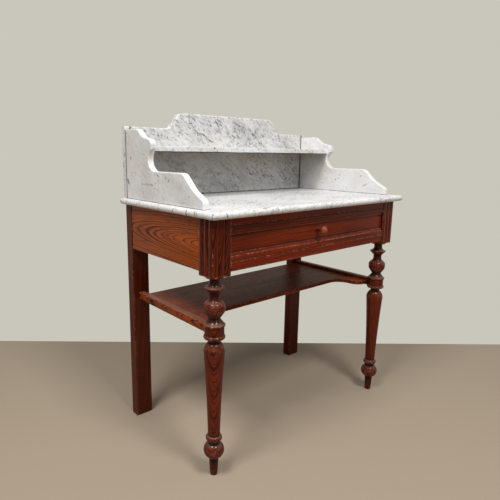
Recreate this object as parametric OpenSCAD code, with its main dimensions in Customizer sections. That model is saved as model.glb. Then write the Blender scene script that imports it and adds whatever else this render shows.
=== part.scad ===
// Washstand with a marble top, a marble gallery with a small shelf, one drawer
// between turned front legs, and a lower shelf held by two side rails.
// Millimetres, +X to the right, +Y to the wall, +Z up.
// The origin is on the floor, under the middle of the marble top.

/* [Marble top] */
// Width of the marble top
top_w = 900; // [760:10:1100]
// Depth of the marble top, from its front edge to the wall
top_d = 500; // [460:5:600]
// Thickness of the marble top, whose front and side edges are half round
top_t = 20; // [16:1:28]
// Height of the marble's upper face above the floor
top_height = 785; // [760:5:850]
// Radius of the top's two front corners, seen from above
top_corner_r = 12; // [5:1:25]
// How far the top stands out past the legs at each side
side_overhang = 20; // [12:1:40]
// How far the top stands out past the front legs
front_overhang = 26; // [12:1:35]
// How far the top stands out past the rear legs
back_overhang = 2; // [0:1:10]

/* [Marble gallery] */
// Thickness of the back and side slabs
gallery_t = 20; // [14:1:24]
// Distance of the gallery's ends from the top's side edges
gallery_inset = 15; // [11:1:30]
// Height of the back slab's level ends above the top
back_end_rise = 230; // [225:5:300]
// Length of the back slab's raised level crest
crest_w = 416; // [300:4:520]
// Radius of the quarter round at each end of the crest
crest_round_r = 34; // [20:1:45]
// Length of the small level step below that quarter round
crest_step = 14; // [5:1:25]
// Radius of the hollow below the step
crest_cove_r = 20; // [10:1:30]
// Height of the side slabs' level tops above the marble top
side_rise = 219; // [205:1:224]
// Length of the side slab's level top, from the back slab
side_top_len = 87; // [60:1:100]
// Radius of the round at the front of that level top
side_shoulder_r = 20; // [12:1:24]
// Radius of the hollow under that round
side_hollow_r = 14; // [8:1:18]
// Length of the ledge between the hollow and the nose
side_ledge_len = 25; // [10:1:40]
// Radius of the nose's upper round
nose_r = 18; // [10:1:20]
// Radius of the round cut below the nose
side_cut_r = 35.5; // [32:0.5:38]
// How far the middle of that cut lies in front of the nose
side_cut_out = 15; // [8:1:20]
// Height of the side slab's level arm above the top
arm_rise = 92; // [80:1:95]
// Distance of the side slab's toe from the top's front edge
toe_setback = 60; // [45:1:80]
// Height of the middle of the toe's round above the top
toe_rise = 12; // [8:1:24]
// Radius of the toe's round
toe_r = 18; // [10:1:24]
// Slope of the side slab behind its toe, in degrees
toe_slope = 28; // [24:1:34]
// Slope that follows it up to the level arm, in degrees
arm_slope = 43; // [38:1:46]
// Distance of the place where the two slopes meet from the toe
slope_meet = 49; // [40:1:60]
// Radius of the hollow that blends the two slopes
slope_hollow_r = 80; // [40:5:120]
// Radius of the round where the upper slope meets the level arm
arm_round_r = 30; // [12:1:36]
// Thickness of the small marble shelf
shelf_t = 18; // [14:1:22]
// Depth of the small marble shelf
shelf_d = 144; // [120:2:148]
// Height of the small shelf's underside above the marble top
shelf_rise = 150; // [146:1:156]
// Depth of the housings that hold the small shelf's ends and back
shelf_housing = 5; // [3:1:8]
// Radius of the iron pins that stand the gallery on the top
pin_r = 3; // [2:0.5:4]
// Depth of each pin in the marble top, and its length above it
pin_depth = 12; // [8:1:13]
// Distance of the front pin of a side slab from the slab's toe
front_pin_in = 70; // [40:5:100]
// Distance of the rear pin of a side slab from the back slab
rear_pin_in = 60; // [30:5:80]

/* [Carcass] */
// Side of the square block at the top of each front leg
block = 64; // [60:1:72]
// How far the blocks hang below the aprons
block_drop = 11; // [8:1:24]
// Number of reeds on each outer face of a block
reed_count = 3; // [2:1:4]
// Rise of each reed above its quirks
reed_rise = 2; // [1:0.25:3]
// Width and depth of the quirk between two reeds
reed_quirk = 1.2; // [0.6:0.2:2]
// Height of the aprons
apron_h = 148; // [141:1:160]
// Thickness of the side aprons
side_apron_t = 20; // [16:1:24]
// How far the side aprons lie inside the legs' outer faces
side_apron_setback = 2; // [1:0.5:4]
// Thickness of the back apron
back_apron_t = 18; // [14:1:22]
// Width of a rear leg, along X
rear_leg_w = 60; // [52:1:70]
// Depth of a rear leg, along Y
rear_leg_d = 36; // [32:1:45]
// How far the front rails and the drawer lie behind the blocks' faces
front_setback = 3; // [2:0.5:5]
// Height of the rail above the drawer
top_rail_h = 24; // [18:1:30]
// Depth of the rail above the drawer
top_rail_d = 50; // [40:1:56]
// Height of the rail below the drawer
bottom_rail_h = 27; // [18:1:30]
// Depth of the rail below the drawer
bottom_rail_d = 40; // [32:1:56]
// Thickness of the tenons
tenon_t = 8; // [6:1:10]
// Length of the tenons
tenon_len = 22; // [14:1:22]
// How far a tenon's top and bottom lie inside its board
tenon_shoulder = 15; // [8:1:25]
// Depth of the dovetails that lay the top rail into the blocks
rail_tail_h = 12; // [8:1:16]
// Gap round every tenon and dovetail
joint_gap = 0.2; // [0.1:0.05:0.4]

/* [Turned front legs] */
// Radius of the foot's tip
foot_tip_r = 11.3; // [9:0.1:13]
// Radius of the rounded edge under the foot
foot_edge_r = 4; // [2:0.5:5]
// Radius of the foot where it leaves the ball
foot_top_r = 14.5; // [13:0.5:17]
// Height of the middle of the foot's ball
ball_z = 81; // [74:1:90]
// Largest radius of the ball
ball_r = 30.5; // [28:0.5:34]
// Radius of the ball's rounded side
ball_round_r = 25; // [22:0.5:27]
// Height of the middle of the ring above the ball
ankle_ring_z = 120; // [116:1:128]
// Radius of that ring
ankle_ring_r = 24; // [22:0.5:27]
// Height of that ring
ankle_ring_h = 18; // [12:1:20]
// Radius of the groove between ball and ring
ankle_neck_r = 18; // [14:0.5:19]
// Radius at the thin end of the tapered shaft
shaft_thin_r = 17.8; // [16:0.1:20]
// Radius at the thick end of the tapered shaft
shaft_thick_r = 30.2; // [27:0.1:31]
// How far the tapered shaft is hollowed at its middle
shaft_hollow = 1.6; // [0:0.1:3]
// Radius of the dome above the tapered shaft
dome_r = 33; // [31.5:0.5:36]
// Radius of the necks under the drum and under the bulb
mid_neck_r = 16.5; // [14:0.5:18]
// Radius of the drum that the shelf rail meets
drum_r = 28; // [25:0.5:29]
// Height of the drum
drum_h = 24; // [18:1:28]
// Radius of the beads above and below the drum
drum_bead_r = 31; // [30:0.5:34]
// Height of the bead below the drum
lower_bead_h = 12; // [8:1:14]
// Height of the bead above the drum
upper_bead_h = 8; // [5:1:10]
// Height of the sloping face above the upper bead
upper_cone_h = 16; // [10:1:20]
// Height of the neck under the drum's lower bead, and of its flare
under_drum_h = 10; // [7:1:14]
// Length of the straight neck above the drum
mid_neck_len = 2; // [0:0.5:5]
// Height of the cone below the bulb's fillet
bulb_cone_h = 19; // [14:1:24]
// Radius of the fillet below the bulb
bulb_fillet_r = 29.5; // [28:0.5:31]
// Height of the fillet below the bulb
bulb_fillet_h = 5; // [3:0.5:7]
// Depth of the quirk between fillet and bulb
quirk = 1.2; // [0.6:0.1:2]
// Largest radius of the bulb
bulb_r = 30.5; // [28:0.5:33]
// Radius of the bulb's rounded side
bulb_round_r = 18; // [15:0.5:20]
// Height of the flare from the bulb to the neck above it
bulb_flare_h = 14; // [10:1:18]
// Radius of the necks above and below the saucer
upper_neck_r = 14.5; // [12:0.5:16]
// Radius of the saucer's lip
saucer_r = 28; // [24:0.5:31]
// Thickness of the saucer's lip
saucer_lip = 3; // [2:0.5:4]
// Height of the saucer above its lip
saucer_top_h = 15; // [10:1:17]
// Height of the saucer below its lip
saucer_under_h = 15; // [10:1:18]
// Radius of the turned shoulder under the block
shoulder_r = 25; // [22:0.5:28]
// Height of that shoulder
shoulder_h = 5; // [3:0.5:8]
// Height of the hollow under the shoulder
shoulder_hollow_h = 8; // [5:1:10]
// Length of the straight neck between that hollow and the saucer
upper_neck_len = 4; // [0:0.5:8]

/* [Lower shelf] */
// Height of the lower shelf's upper face
low_shelf_z = 450; // [430:5:470]
// Thickness of the lower shelf
low_shelf_t = 13; // [10:1:15]
// Height of a side rail
rail_h = 29; // [25:1:31]
// Width of a side rail
rail_w = 20; // [16:1:24]
// How far a side rail stands above the shelf
rail_proud = 11; // [7:1:12]
// Radius of the side rail's rounded lower outer edge
rail_round_r = 10; // [5:1:12]
// Depth of the housings that hold the shelf's ends
low_shelf_housing = 6; // [4:1:8]
// Radius of the round tenon that enters the leg's drum
rail_pin_r = 7; // [5:0.5:8]
// Length of that round tenon
rail_pin_len = 20; // [14:1:24]
// How far the shelf's straight front edge lies behind the legs' faces
low_shelf_setback = 156; // [140:2:180]
// Radius of the hollow curve at each end of that edge
low_shelf_hollow_r = 52; // [40:1:55]
// Radius of the round curve that follows it to the rail
low_shelf_round_r = 39; // [30:1:42]
// How far that hollow curve begins inside the rail's inner face
low_shelf_curve_in = 108; // [100:2:130]

/* [Drawer] */
// Gap between the drawer's front and its opening
drawer_gap = 1; // [0.5:0.25:2]
// Gap between the drawer's sides and the runners they slide on
slide_gap = 0.3; // [0.2:0.05:0.5]
// Thickness of the drawer's front at its margins
drawer_front_t = 22; // [19:1:26]
// Height of the plain margin above and below the drawer's field
front_margin = 14; // [10:1:18]
// Height of the moulding between margin and field
front_moulding = 9; // [7:1:11]
// How far the field lies behind the margins
field_depth = 7; // [5:0.5:8]
// Space between the drawer's back and the back apron
drawer_behind = 29; // [5:1:100]
// Thickness of the drawer's sides
drawer_side_t = 10; // [8:1:12]
// Space between the drawer's sides and the kickers above them
drawer_above = 8.7; // [2:0.1:20]
// Thickness of the drawer's back
drawer_back_t = 10; // [8:1:14]
// How far the back lies below the sides' upper edges
back_drop = 4; // [2:1:8]
// Thickness of the drawer's bottom
drawer_bottom_t = 6; // [4:1:7]
// Height of the bottom's groove above the sides' lower edges
groove_up = 7; // [5:1:9]
// Depth of the bottom's groove
groove_in = 4; // [3:0.5:5]
// Radius of the hollow in the moulding's margin side
front_cove_r = 4; // [2:0.5:4.5]
// Wood left between the field and the front dovetails
front_lap = 5; // [3:1:6]
// Number of dovetails at each corner of the drawer
tail_count = 3; // [2:1:3]
// Width of a dovetail at its tip
tail_w = 20; // [14:1:21]
// How much narrower a dovetail is at its root, on each side
tail_flare = 2.5; // [1:0.5:3]
// Diameter of the knob
knob_d = 24; // [18:1:28]
// How far the knob stands out from the drawer's field
knob_out = 35; // [28:1:35]
// Height of the knob above the middle of the drawer's front
knob_rise = 4; // [-6:1:10]
// Radius of the knob's tenon
knob_tenon_r = 6; // [4:0.5:7]
// Radius of the knob's foot
knob_foot_r = 9; // [8:0.5:11]
// Radius of the knob's neck
knob_neck_r = 5.5; // [4:0.5:7]

/* [Runners] */
// Width of a runner from the side apron
runner_w = 68; // [60:1:80]
// Thickness of a runner
runner_t = 20; // [14:1:24]
// Height of the strip that guides the drawer's side
guide_h = 18; // [12:1:24]
// Thickness of a kicker, which keeps the open drawer level
kicker_t = 22; // [16:1:24]
// Side of a glue block in the corners of the carcass
glue_block = 24; // [18:1:28]
// Radius of the screws' shanks
screw_r = 2; // [1.5:0.25:2.5]
// Radius of the drawer nails' shanks
nail_r = 1; // [0.8:0.1:1.5]

/* [Hidden] */
$fn = 64;

// Sides: the left one is at -X.
LEFT = -1;
RIGHT = 1;
// Overshoot of cuts that leave a face
cut = 1;
// Clearance of the iron pins, screws and nails in their bores
bore_gap = 0.1;
// Gap between the rail's coped end and the leg's drum
cope_gap = 0.3;

// Heights
top_under = top_height - top_t;
apron_bottom = top_under - apron_h;
block_bottom = apron_bottom - block_drop;
opening_bottom = apron_bottom + bottom_rail_h;
opening_top = top_under - top_rail_h;

// Places along X
leg_outer_x = top_w / 2 - side_overhang;
block_inner_x = leg_outer_x - block;
leg_axis_x = leg_outer_x - block / 2;
apron_outer_x = leg_outer_x - side_apron_setback;
apron_inner_x = apron_outer_x - side_apron_t;
rear_inner_x = leg_outer_x - rear_leg_w;
gallery_x = top_w / 2 - gallery_inset;
gallery_inner_x = gallery_x - gallery_t;

// Places along Y
front_y = -top_d / 2;
wall_y = top_d / 2;
block_front_y = front_y + front_overhang;
block_back_y = block_front_y + block;
leg_axis_y = block_front_y + block / 2;
rear_back_y = wall_y - back_overhang;
rear_front_y = rear_back_y - rear_leg_d;
rails_y = block_front_y + front_setback;
gallery_front_y = wall_y - gallery_t;
back_apron_y = rear_back_y - side_apron_setback - back_apron_t;

// Turned leg
drum_mid = low_shelf_z;
drum_top = drum_mid + drum_h / 2;
drum_bottom = drum_mid - drum_h / 2;
upper_bead_z = drum_top + upper_bead_h / 2;
upper_cone_z = upper_bead_z + upper_bead_h / 4;
mid_neck_z = upper_cone_z + upper_cone_h;
bulb_cone_z = mid_neck_z + mid_neck_len;
bulb_fillet_z = bulb_cone_z + bulb_cone_h;
bulb_bottom = bulb_fillet_z + bulb_fillet_h;
// The bulb's round is cut off where it has drawn in by one and a half quirks.
bulb_z = bulb_bottom + sqrt(pow(bulb_round_r, 2) - pow(bulb_round_r - quirk * 1.5, 2));
// Angle up the bulb's round at which its flare begins
bulb_flare_at = 57;
bulb_flare_z = bulb_z + bulb_round_r * sin(bulb_flare_at);
bulb_flare_r = bulb_r - bulb_round_r + bulb_round_r * cos(bulb_flare_at);
lower_bead_z = drum_bottom - lower_bead_h / 2;
low_neck_z = lower_bead_z - lower_bead_h / 2 - under_drum_h;
dome_z = low_neck_z - sqrt(pow(dome_r, 2) - pow(mid_neck_r + dome_r - shaft_thick_r, 2));
shoulder_z = block_bottom - shoulder_h;
shoulder_neck_z = shoulder_z - shoulder_hollow_h;
saucer_neck_z = shoulder_neck_z - upper_neck_len;
saucer_top_z = saucer_neck_z - saucer_top_h;
saucer_under_z = saucer_top_z - saucer_lip;
saucer_low_z = saucer_under_z - saucer_under_h;
// Number of straight stretches in the hollowed taper
taper_steps = 8;

// Lower shelf
low_shelf_bottom = low_shelf_z - low_shelf_t;
rail_top = low_shelf_z + rail_proud;
rail_bottom = rail_top - rail_h;
rail_outer_x = leg_axis_x + rail_w / 2;
rail_inner_x = leg_axis_x - rail_w / 2;

// Drawer
drawer_w = 2 * (block_inner_x - drawer_gap);
drawer_front_z = opening_bottom + drawer_gap;
drawer_front_h = opening_top - opening_bottom - 2 * drawer_gap;
drawer_side_z = opening_bottom + slide_gap;
drawer_side_h = opening_top - drawer_above - drawer_side_z;
drawer_back_y = back_apron_y - drawer_behind;
drawer_inner_x = drawer_w / 2 - drawer_side_t;
groove_z = drawer_side_z + groove_up;
field_y = rails_y + field_depth;
knob_z = drawer_front_z + drawer_front_h / 2 + knob_rise;
front_tail_len = drawer_front_t - field_depth - front_lap;
drawer_back_z = groove_z + drawer_bottom_t;
drawer_back_top = drawer_side_z + drawer_side_h - back_drop;
// Length of the knob's tenon, a little short of the front's back face
tenon_in = drawer_front_t - field_depth - joint_gap;

// Colours
marble_colour = "whitesmoke";
varnish_colour = "sienna";
raw_colour = "burlywood";
iron_colour = "dimgray";

// A box between two opposite corners.
module box(low, high) {
    translate(low) cube(high - low);
}

// The same piece at the other side of the middle plane.
module at_side(side) {
    if (side == LEFT) {
        mirror([1, 0, 0]) children();
    } else {
        children();
    }
}

// An upright bore or shank from z0 to z1.
module upright(x, y, z0, z1, r) {
    translate([x, y, z0]) cylinder(r = r, h = z1 - z0);
}

// ---- Marble ----

// Section of the half-round edge: a slab with its far side at "reach".
module half_round_edge(reach) {
    square([reach - top_t / 2, top_t]);
    translate([reach - top_t / 2, top_t / 2]) circle(r = top_t / 2);
}

// Plan of the top, with its two front corners rounded.
module top_plan() {
    translate([-top_w / 2 + top_corner_r, front_y]) square([top_w - 2 * top_corner_r, top_d]);
    translate([-top_w / 2, front_y + top_corner_r]) square([top_w, top_d - top_corner_r]);
    for (side = [LEFT, RIGHT]) {
        translate([side * (top_w / 2 - top_corner_r), front_y + top_corner_r])
            circle(r = top_corner_r);
    }
}

// The gallery's pins: two under the back slab and two under each side slab.
module each_pin() {
    for (side = [LEFT, RIGHT]) {
        translate([side * crest_w / 2, wall_y - gallery_t / 2, top_height]) children();
        for (y = [front_y + toe_setback + front_pin_in, gallery_front_y - rear_pin_in]) {
            translate([side * (gallery_x - gallery_t / 2), y, top_height]) children();
        }
    }
}

module pin_shape(gap) {
    translate([0, 0, -pin_depth - gap]) cylinder(r = pin_r + gap, h = 2 * (pin_depth + gap));
}

module marble_top() {
    color(marble_colour) difference() {
        intersection() {
            translate([0, 0, top_under]) linear_extrude(top_t) top_plan();
            translate([-top_w / 2, wall_y, top_under]) rotate([90, 0, 90])
                linear_extrude(top_w) mirror([1, 0]) half_round_edge(top_d);
            translate([0, wall_y, top_under]) rotate([90, 0, 0])
                linear_extrude(top_d) {
                    half_round_edge(top_w / 2);
                    mirror([1, 0]) half_round_edge(top_w / 2);
                }
        }
        each_pin() pin_shape(bore_gap);
    }
}

// One half of the back slab's outline, from the middle to its end.
module back_outline_half() {
    crest = crest_w / 2;
    step_x = crest + crest_round_r + crest_step;
    step_z = back_end_rise + crest_cove_r;
    square([gallery_x, back_end_rise]);
    square([step_x, step_z]);
    square([crest, step_z + crest_round_r]);
    translate([crest, step_z]) intersection() {
        circle(r = crest_round_r);
        square(crest_round_r);
    }
    difference() {
        translate([0, back_end_rise]) square([step_x + crest_cove_r, crest_cove_r]);
        translate([step_x + crest_cove_r, step_z]) circle(r = crest_cove_r);
    }
}

// The small shelf. A gap of its own makes the housings: none below, where the shelf rests.
module shelf_body(gap) {
    reach = gallery_inner_x + shelf_housing + gap;
    under = top_height + shelf_rise;
    box([-reach, gallery_front_y - shelf_d - gap, under],
        [reach, gallery_front_y + shelf_housing + gap, under + shelf_t + gap]);
}

module marble_back() {
    color(marble_colour) difference() {
        translate([0, wall_y, top_height]) rotate([90, 0, 0]) linear_extrude(gallery_t) {
            back_outline_half();
            mirror([1, 0]) back_outline_half();
        }
        shelf_body(joint_gap);
        each_pin() pin_shape(bore_gap);
    }
}

// The side slab's level arm, its two slopes with the hollow between them, and its toe.
// Here and below, the first value runs forward from the back slab and the second up.
module arm_outline() {
    toe = top_d - gallery_t - toe_setback;
    slope_end = [toe - toe_r * (1 - sin(toe_slope)), toe_rise + toe_r * cos(toe_slope)];
    meet_x = toe - slope_meet;
    meet = [meet_x, slope_end[1] + (slope_end[0] - meet_x) * tan(toe_slope)];
    slope_start = meet_x - (arm_rise - meet[1]) / tan(arm_slope);
    tangent = arm_round_r * tan(arm_slope / 2);
    hollow_reach = slope_hollow_r * tan((arm_slope - toe_slope) / 2);
    hollow_low = meet + hollow_reach * [cos(toe_slope), -sin(toe_slope)];
    hollow_top = meet + hollow_reach * [-cos(arm_slope), sin(arm_slope)];
    hollow_middle = hollow_low + slope_hollow_r * [sin(toe_slope), cos(toe_slope)];
    intersection() {
        union() {
            polygon([[0, 0], [toe, 0], [toe, toe_rise], slope_end, meet,
                     [slope_start + tangent * cos(arm_slope), arm_rise - tangent * sin(arm_slope)],
                     [slope_start - tangent, arm_rise], [0, arm_rise]]);
            difference() {
                polygon([meet, hollow_low, hollow_middle, hollow_top]);
                translate(hollow_middle) circle(r = slope_hollow_r);
            }
            translate([toe - toe_r, toe_rise]) circle(r = toe_r);
            translate([slope_start - tangent, arm_rise - arm_round_r]) circle(r = arm_round_r);
        }
        square([toe, arm_rise]);
    }
}

// The side slab's tall part: level top, ogee, ledge and nose, with the round cut below.
module nose_outline() {
    round_z = side_rise - side_shoulder_r;
    ledge_z = round_z - side_hollow_r;
    hollow_end = side_top_len + side_shoulder_r + side_hollow_r;
    nose = hollow_end + side_ledge_len + nose_r;
    cut_middle = [nose + side_cut_out, arm_rise + side_cut_r];
    difference() {
        union() {
            square([side_top_len, side_rise]);
            square([side_top_len + side_shoulder_r, round_z]);
            translate([side_top_len, round_z]) circle(r = side_shoulder_r);
            difference() {
                square([hollow_end, round_z]);
                translate([hollow_end, round_z]) circle(r = side_hollow_r);
            }
            square([nose - nose_r, ledge_z]);
            square([nose, ledge_z - nose_r]);
            translate([nose - nose_r, ledge_z - nose_r]) circle(r = nose_r);
            square(cut_middle);
        }
        translate(cut_middle) circle(r = side_cut_r);
    }
}

module marble_side(side) {
    color(marble_colour) difference() {
        at_side(side) translate([gallery_inner_x, gallery_front_y, top_height])
            rotate([90, 0, 90]) linear_extrude(gallery_t) mirror([1, 0]) {
                arm_outline();
                nose_outline();
            }
        shelf_body(joint_gap);
        each_pin() pin_shape(bore_gap);
    }
}

module marble_shelf() {
    color(marble_colour) shelf_body(0);
}

module gallery_pins() {
    color(iron_colour) each_pin() pin_shape(0);
}

// ---- Front legs ----

// Half outline of a turned ring with a half-round edge: r is its largest radius.
module bead(r, z, height) {
    translate([0, z - height / 2]) square([r - height / 2, height]);
    translate([r - height / 2, z]) circle(d = height);
}

// Half outline of a hollow that leaves a neck upright at z_neck and opens to r_out at z_out.
module flare(r_neck, z_neck, r_out, z_out) {
    dr = r_out - r_neck;
    dz = abs(z_out - z_neck);
    hollow_r = (dr * dr + dz * dz) / (2 * dr);
    difference() {
        translate([0, min(z_neck, z_out)]) square([r_out, dz]);
        translate([r_neck + hollow_r, z_neck]) circle(r = hollow_r);
    }
}

// Half outline of a round of radius "round_r" whose largest radius is r.
module swell(r, z, round_r) {
    intersection() {
        translate([r - round_r, z]) circle(r = round_r);
        translate([0, z - round_r]) square([r, 2 * round_r]);
    }
}

// Foot, ball and ankle ring, from the floor up.
module foot_outline() {
    polygon([[0, 0], [foot_tip_r - foot_edge_r, 0], [foot_tip_r, foot_edge_r],
             [foot_top_r, ball_z - ball_round_r + foot_edge_r], [foot_top_r, ball_z], [0, ball_z]]);
    translate([foot_tip_r - foot_edge_r, foot_edge_r]) intersection() {
        circle(r = foot_edge_r);
        translate([0, -foot_edge_r]) square(foot_edge_r);
    }
    swell(ball_r, ball_z, ball_round_r);
    translate([0, ball_z]) square([ankle_neck_r, ankle_ring_z - ball_z]);
    bead(ankle_ring_r, ankle_ring_z, ankle_ring_h);
}

// Tapered shaft, a little hollow along its length, and the dome on its thick end.
module shaft_outline() {
    taper_z = ankle_ring_z + ankle_ring_h / 2;
    taper = [for (i = [0 : taper_steps]) let (t = i / taper_steps)
        [shaft_thin_r + (shaft_thick_r - shaft_thin_r) * t - 4 * shaft_hollow * t * (1 - t),
         taper_z + (dome_z - taper_z) * t]];
    translate([0, ankle_ring_z]) square([shaft_thin_r, ankle_ring_h / 2]);
    polygon(concat([[0, taper_z]], taper, [[0, dome_z]]));
    intersection() {
        translate([shaft_thick_r - dome_r, dome_z]) circle(r = dome_r);
        translate([0, dome_z]) square([shaft_thick_r, low_neck_z - dome_z]);
    }
}

// Drum with a bead below and above it, and the slope up to the neck.
module drum_outline() {
    translate([0, dome_z]) square([mid_neck_r, bulb_fillet_z - dome_z]);
    flare(mid_neck_r, low_neck_z, drum_bead_r - lower_bead_h / 2, lower_bead_z);
    bead(drum_bead_r, lower_bead_z, lower_bead_h);
    translate([0, lower_bead_z]) square([drum_r, upper_bead_z - lower_bead_z]);
    bead(drum_bead_r, upper_bead_z, upper_bead_h);
    polygon([[0, upper_bead_z], [drum_bead_r - upper_bead_h / 2, upper_bead_z],
             [drum_bead_r - upper_bead_h / 4, upper_cone_z], [mid_neck_r, mid_neck_z],
             [0, mid_neck_z]]);
}

// Cone, fillet, quirk and bulb.
module bulb_outline() {
    polygon([[0, bulb_cone_z], [mid_neck_r, bulb_cone_z], [bulb_fillet_r, bulb_fillet_z],
             [bulb_fillet_r, bulb_bottom], [0, bulb_bottom]]);
    translate([0, bulb_bottom]) square([bulb_fillet_r - 2 * quirk, quirk]);
    intersection() {
        swell(bulb_r, bulb_z, bulb_round_r);
        translate([0, bulb_bottom + quirk]) square([bulb_r, bulb_flare_z - bulb_bottom]);
    }
    flare(upper_neck_r, bulb_flare_z + bulb_flare_h, bulb_flare_r, bulb_flare_z);
}

// Saucer, its necks, and the shoulder, which goes on inside the block.
module saucer_outline() {
    translate([0, bulb_z]) square([upper_neck_r, shoulder_z - bulb_z]);
    polygon([[0, saucer_low_z], [upper_neck_r, saucer_low_z], [saucer_r, saucer_under_z],
             [saucer_r, saucer_top_z], [0, saucer_top_z]]);
    flare(upper_neck_r, saucer_neck_z, saucer_r, saucer_top_z);
    flare(upper_neck_r, shoulder_neck_z, shoulder_r, shoulder_z);
    translate([0, shoulder_z]) square([shoulder_r, apron_bottom - shoulder_z]);
}

// A square with one face, along its lower side, worked into reeds.
module reeded_square() {
    pitch = block / reed_count;
    reed_r = (pow(pitch / 2, 2) + pow(reed_rise, 2)) / (2 * reed_rise);
    floor_y = reed_rise + reed_quirk;
    difference() {
        union() {
            translate([0, floor_y]) square([block, block - floor_y]);
            for (i = [0 : reed_count - 1]) {
                translate([i * pitch, 0]) intersection() {
                    translate([pitch / 2, reed_r]) circle(r = reed_r);
                    square([pitch, reed_r]);
                }
            }
        }
        for (i = [1 : reed_count - 1]) {
            translate([i * pitch - reed_quirk / 2, 0]) square([reed_quirk, floor_y]);
        }
    }
}

// Plan of the right leg's block: its front and its outer side are reeded.
module block_plan() {
    intersection() {
        translate([block_inner_x, block_front_y]) reeded_square();
        translate([leg_outer_x, block_front_y]) rotate(90) reeded_square();
    }
}

module front_leg(side) {
    color(varnish_colour) at_side(side) difference() {
        union() {
            translate([leg_axis_x, leg_axis_y, 0]) rotate_extrude() {
                foot_outline();
                shaft_outline();
                drum_outline();
                bulb_outline();
                saucer_outline();
            }
            translate([0, 0, block_bottom]) linear_extrude(top_under - block_bottom) block_plan();
        }
        side_apron_tenons(joint_gap);
        bottom_rail_tenon(joint_gap);
        top_rail_tail(joint_gap);
        rail_pin(joint_gap);
    }
}

// ---- Carcass ----

// Tenons of the right side apron, into the front block and the rear leg.
module side_apron_tenons(gap) {
    middle = (apron_inner_x + apron_outer_x) / 2;
    box([middle - tenon_t / 2 - gap, block_back_y - tenon_len - gap,
         apron_bottom + tenon_shoulder - gap],
        [middle + tenon_t / 2 + gap, rear_front_y + tenon_len + gap,
         top_under - tenon_shoulder + gap]);
}

// Tenon of the back apron at its right end.
module back_apron_tenon(gap) {
    middle = back_apron_y + back_apron_t / 2;
    box([rear_inner_x - cut, middle - tenon_t / 2 - gap, apron_bottom + tenon_shoulder - gap],
        [rear_inner_x + tenon_len + gap, middle + tenon_t / 2 + gap,
         top_under - tenon_shoulder + gap]);
}

// Tenon of the rail below the drawer at its right end.
module bottom_rail_tenon(gap) {
    middle = apron_bottom + bottom_rail_h / 2;
    inset = tenon_t;
    box([block_inner_x - cut, rails_y + inset - gap, middle - tenon_t / 2 - gap],
        [block_inner_x + tenon_len + gap, rails_y + bottom_rail_d - inset + gap,
         middle + tenon_t / 2 + gap]);
}

// Dovetail of the rail above the drawer, let into the right block from above.
module top_rail_tail(gap) {
    middle = rails_y + top_rail_d / 2;
    root = top_rail_d / 4;
    tip = top_rail_d / 3;
    translate([block_inner_x, middle, top_under - rail_tail_h - gap])
        linear_extrude(rail_tail_h + gap)
            polygon([[-cut, -root - gap], [0, -root - gap], [tenon_len + gap, -tip - gap],
                     [tenon_len + gap, tip + gap], [0, root + gap], [-cut, root + gap]]);
}

module rear_leg(side) {
    color(varnish_colour) at_side(side) difference() {
        box([rear_inner_x, rear_front_y, 0], [leg_outer_x, rear_back_y, top_under]);
        side_apron_tenons(joint_gap);
        back_apron_tenon(joint_gap);
        rail_tenon(joint_gap);
    }
}

module side_apron(side) {
    color(varnish_colour) at_side(side) {
        box([apron_inner_x, block_back_y, apron_bottom], [apron_outer_x, rear_front_y, top_under]);
        side_apron_tenons(0);
    }
}

module back_apron() {
    color(raw_colour) {
        box([-rear_inner_x, back_apron_y, apron_bottom],
            [rear_inner_x, back_apron_y + back_apron_t, top_under]);
        for (side = [LEFT, RIGHT]) {
            at_side(side) back_apron_tenon(0);
        }
    }
}

module front_top_rail() {
    color(varnish_colour) {
        box([-block_inner_x, rails_y, opening_top],
            [block_inner_x, rails_y + top_rail_d, top_under]);
        for (side = [LEFT, RIGHT]) {
            at_side(side) top_rail_tail(0);
        }
    }
}

module front_bottom_rail() {
    color(varnish_colour) {
        box([-block_inner_x, rails_y, apron_bottom],
            [block_inner_x, rails_y + bottom_rail_d, opening_bottom]);
        for (side = [LEFT, RIGHT]) {
            at_side(side) bottom_rail_tenon(0);
        }
    }
}

// Plan of a strip along the right side apron, notched round the block and the rear leg.
module strip_plan(front) {
    inner = apron_inner_x - runner_w;
    polygon([[inner, front], [block_inner_x, front], [block_inner_x, block_back_y],
             [apron_inner_x, block_back_y], [apron_inner_x, rear_front_y],
             [rear_inner_x, rear_front_y], [rear_inner_x, back_apron_y], [inner, back_apron_y]]);
}

module drawer_runner(side) {
    color(raw_colour) at_side(side) difference() {
        translate([0, 0, opening_bottom - runner_t]) linear_extrude(runner_t)
            strip_plan(rails_y + bottom_rail_d);
        each_guide_screw() screw_shape(bore_gap);
    }
}

module drawer_kicker(side) {
    color(raw_colour) at_side(side) translate([0, 0, opening_top]) linear_extrude(kicker_t)
        strip_plan(rails_y + top_rail_d);
}

module drawer_guide(side) {
    color(raw_colour) at_side(side) difference() {
        box([block_inner_x, block_back_y, opening_bottom],
            [apron_inner_x, rear_front_y, opening_bottom + guide_h]);
        each_guide_screw() screw_shape(bore_gap);
    }
}

// Countersunk screws that hold the right guide down on its runner.
module each_guide_screw() {
    span = rear_front_y - block_back_y;
    for (i = [1 : 2 : 5]) {
        translate([(block_inner_x + apron_inner_x) / 2, block_back_y + span * i / 6,
                   opening_bottom + guide_h]) children();
    }
}

module screw_shape(gap) {
    head_r = 2 * screw_r;
    length = guide_h + runner_t * 0.7;
    translate([0, 0, -length - gap]) cylinder(r = screw_r + gap, h = length + gap);
    translate([0, 0, -head_r]) cylinder(r1 = gap, r2 = head_r + 2 * gap, h = head_r + gap);
}

module guide_screws() {
    color(iron_colour) for (side = [LEFT, RIGHT]) {
        at_side(side) each_guide_screw() screw_shape(0);
    }
}

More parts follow.
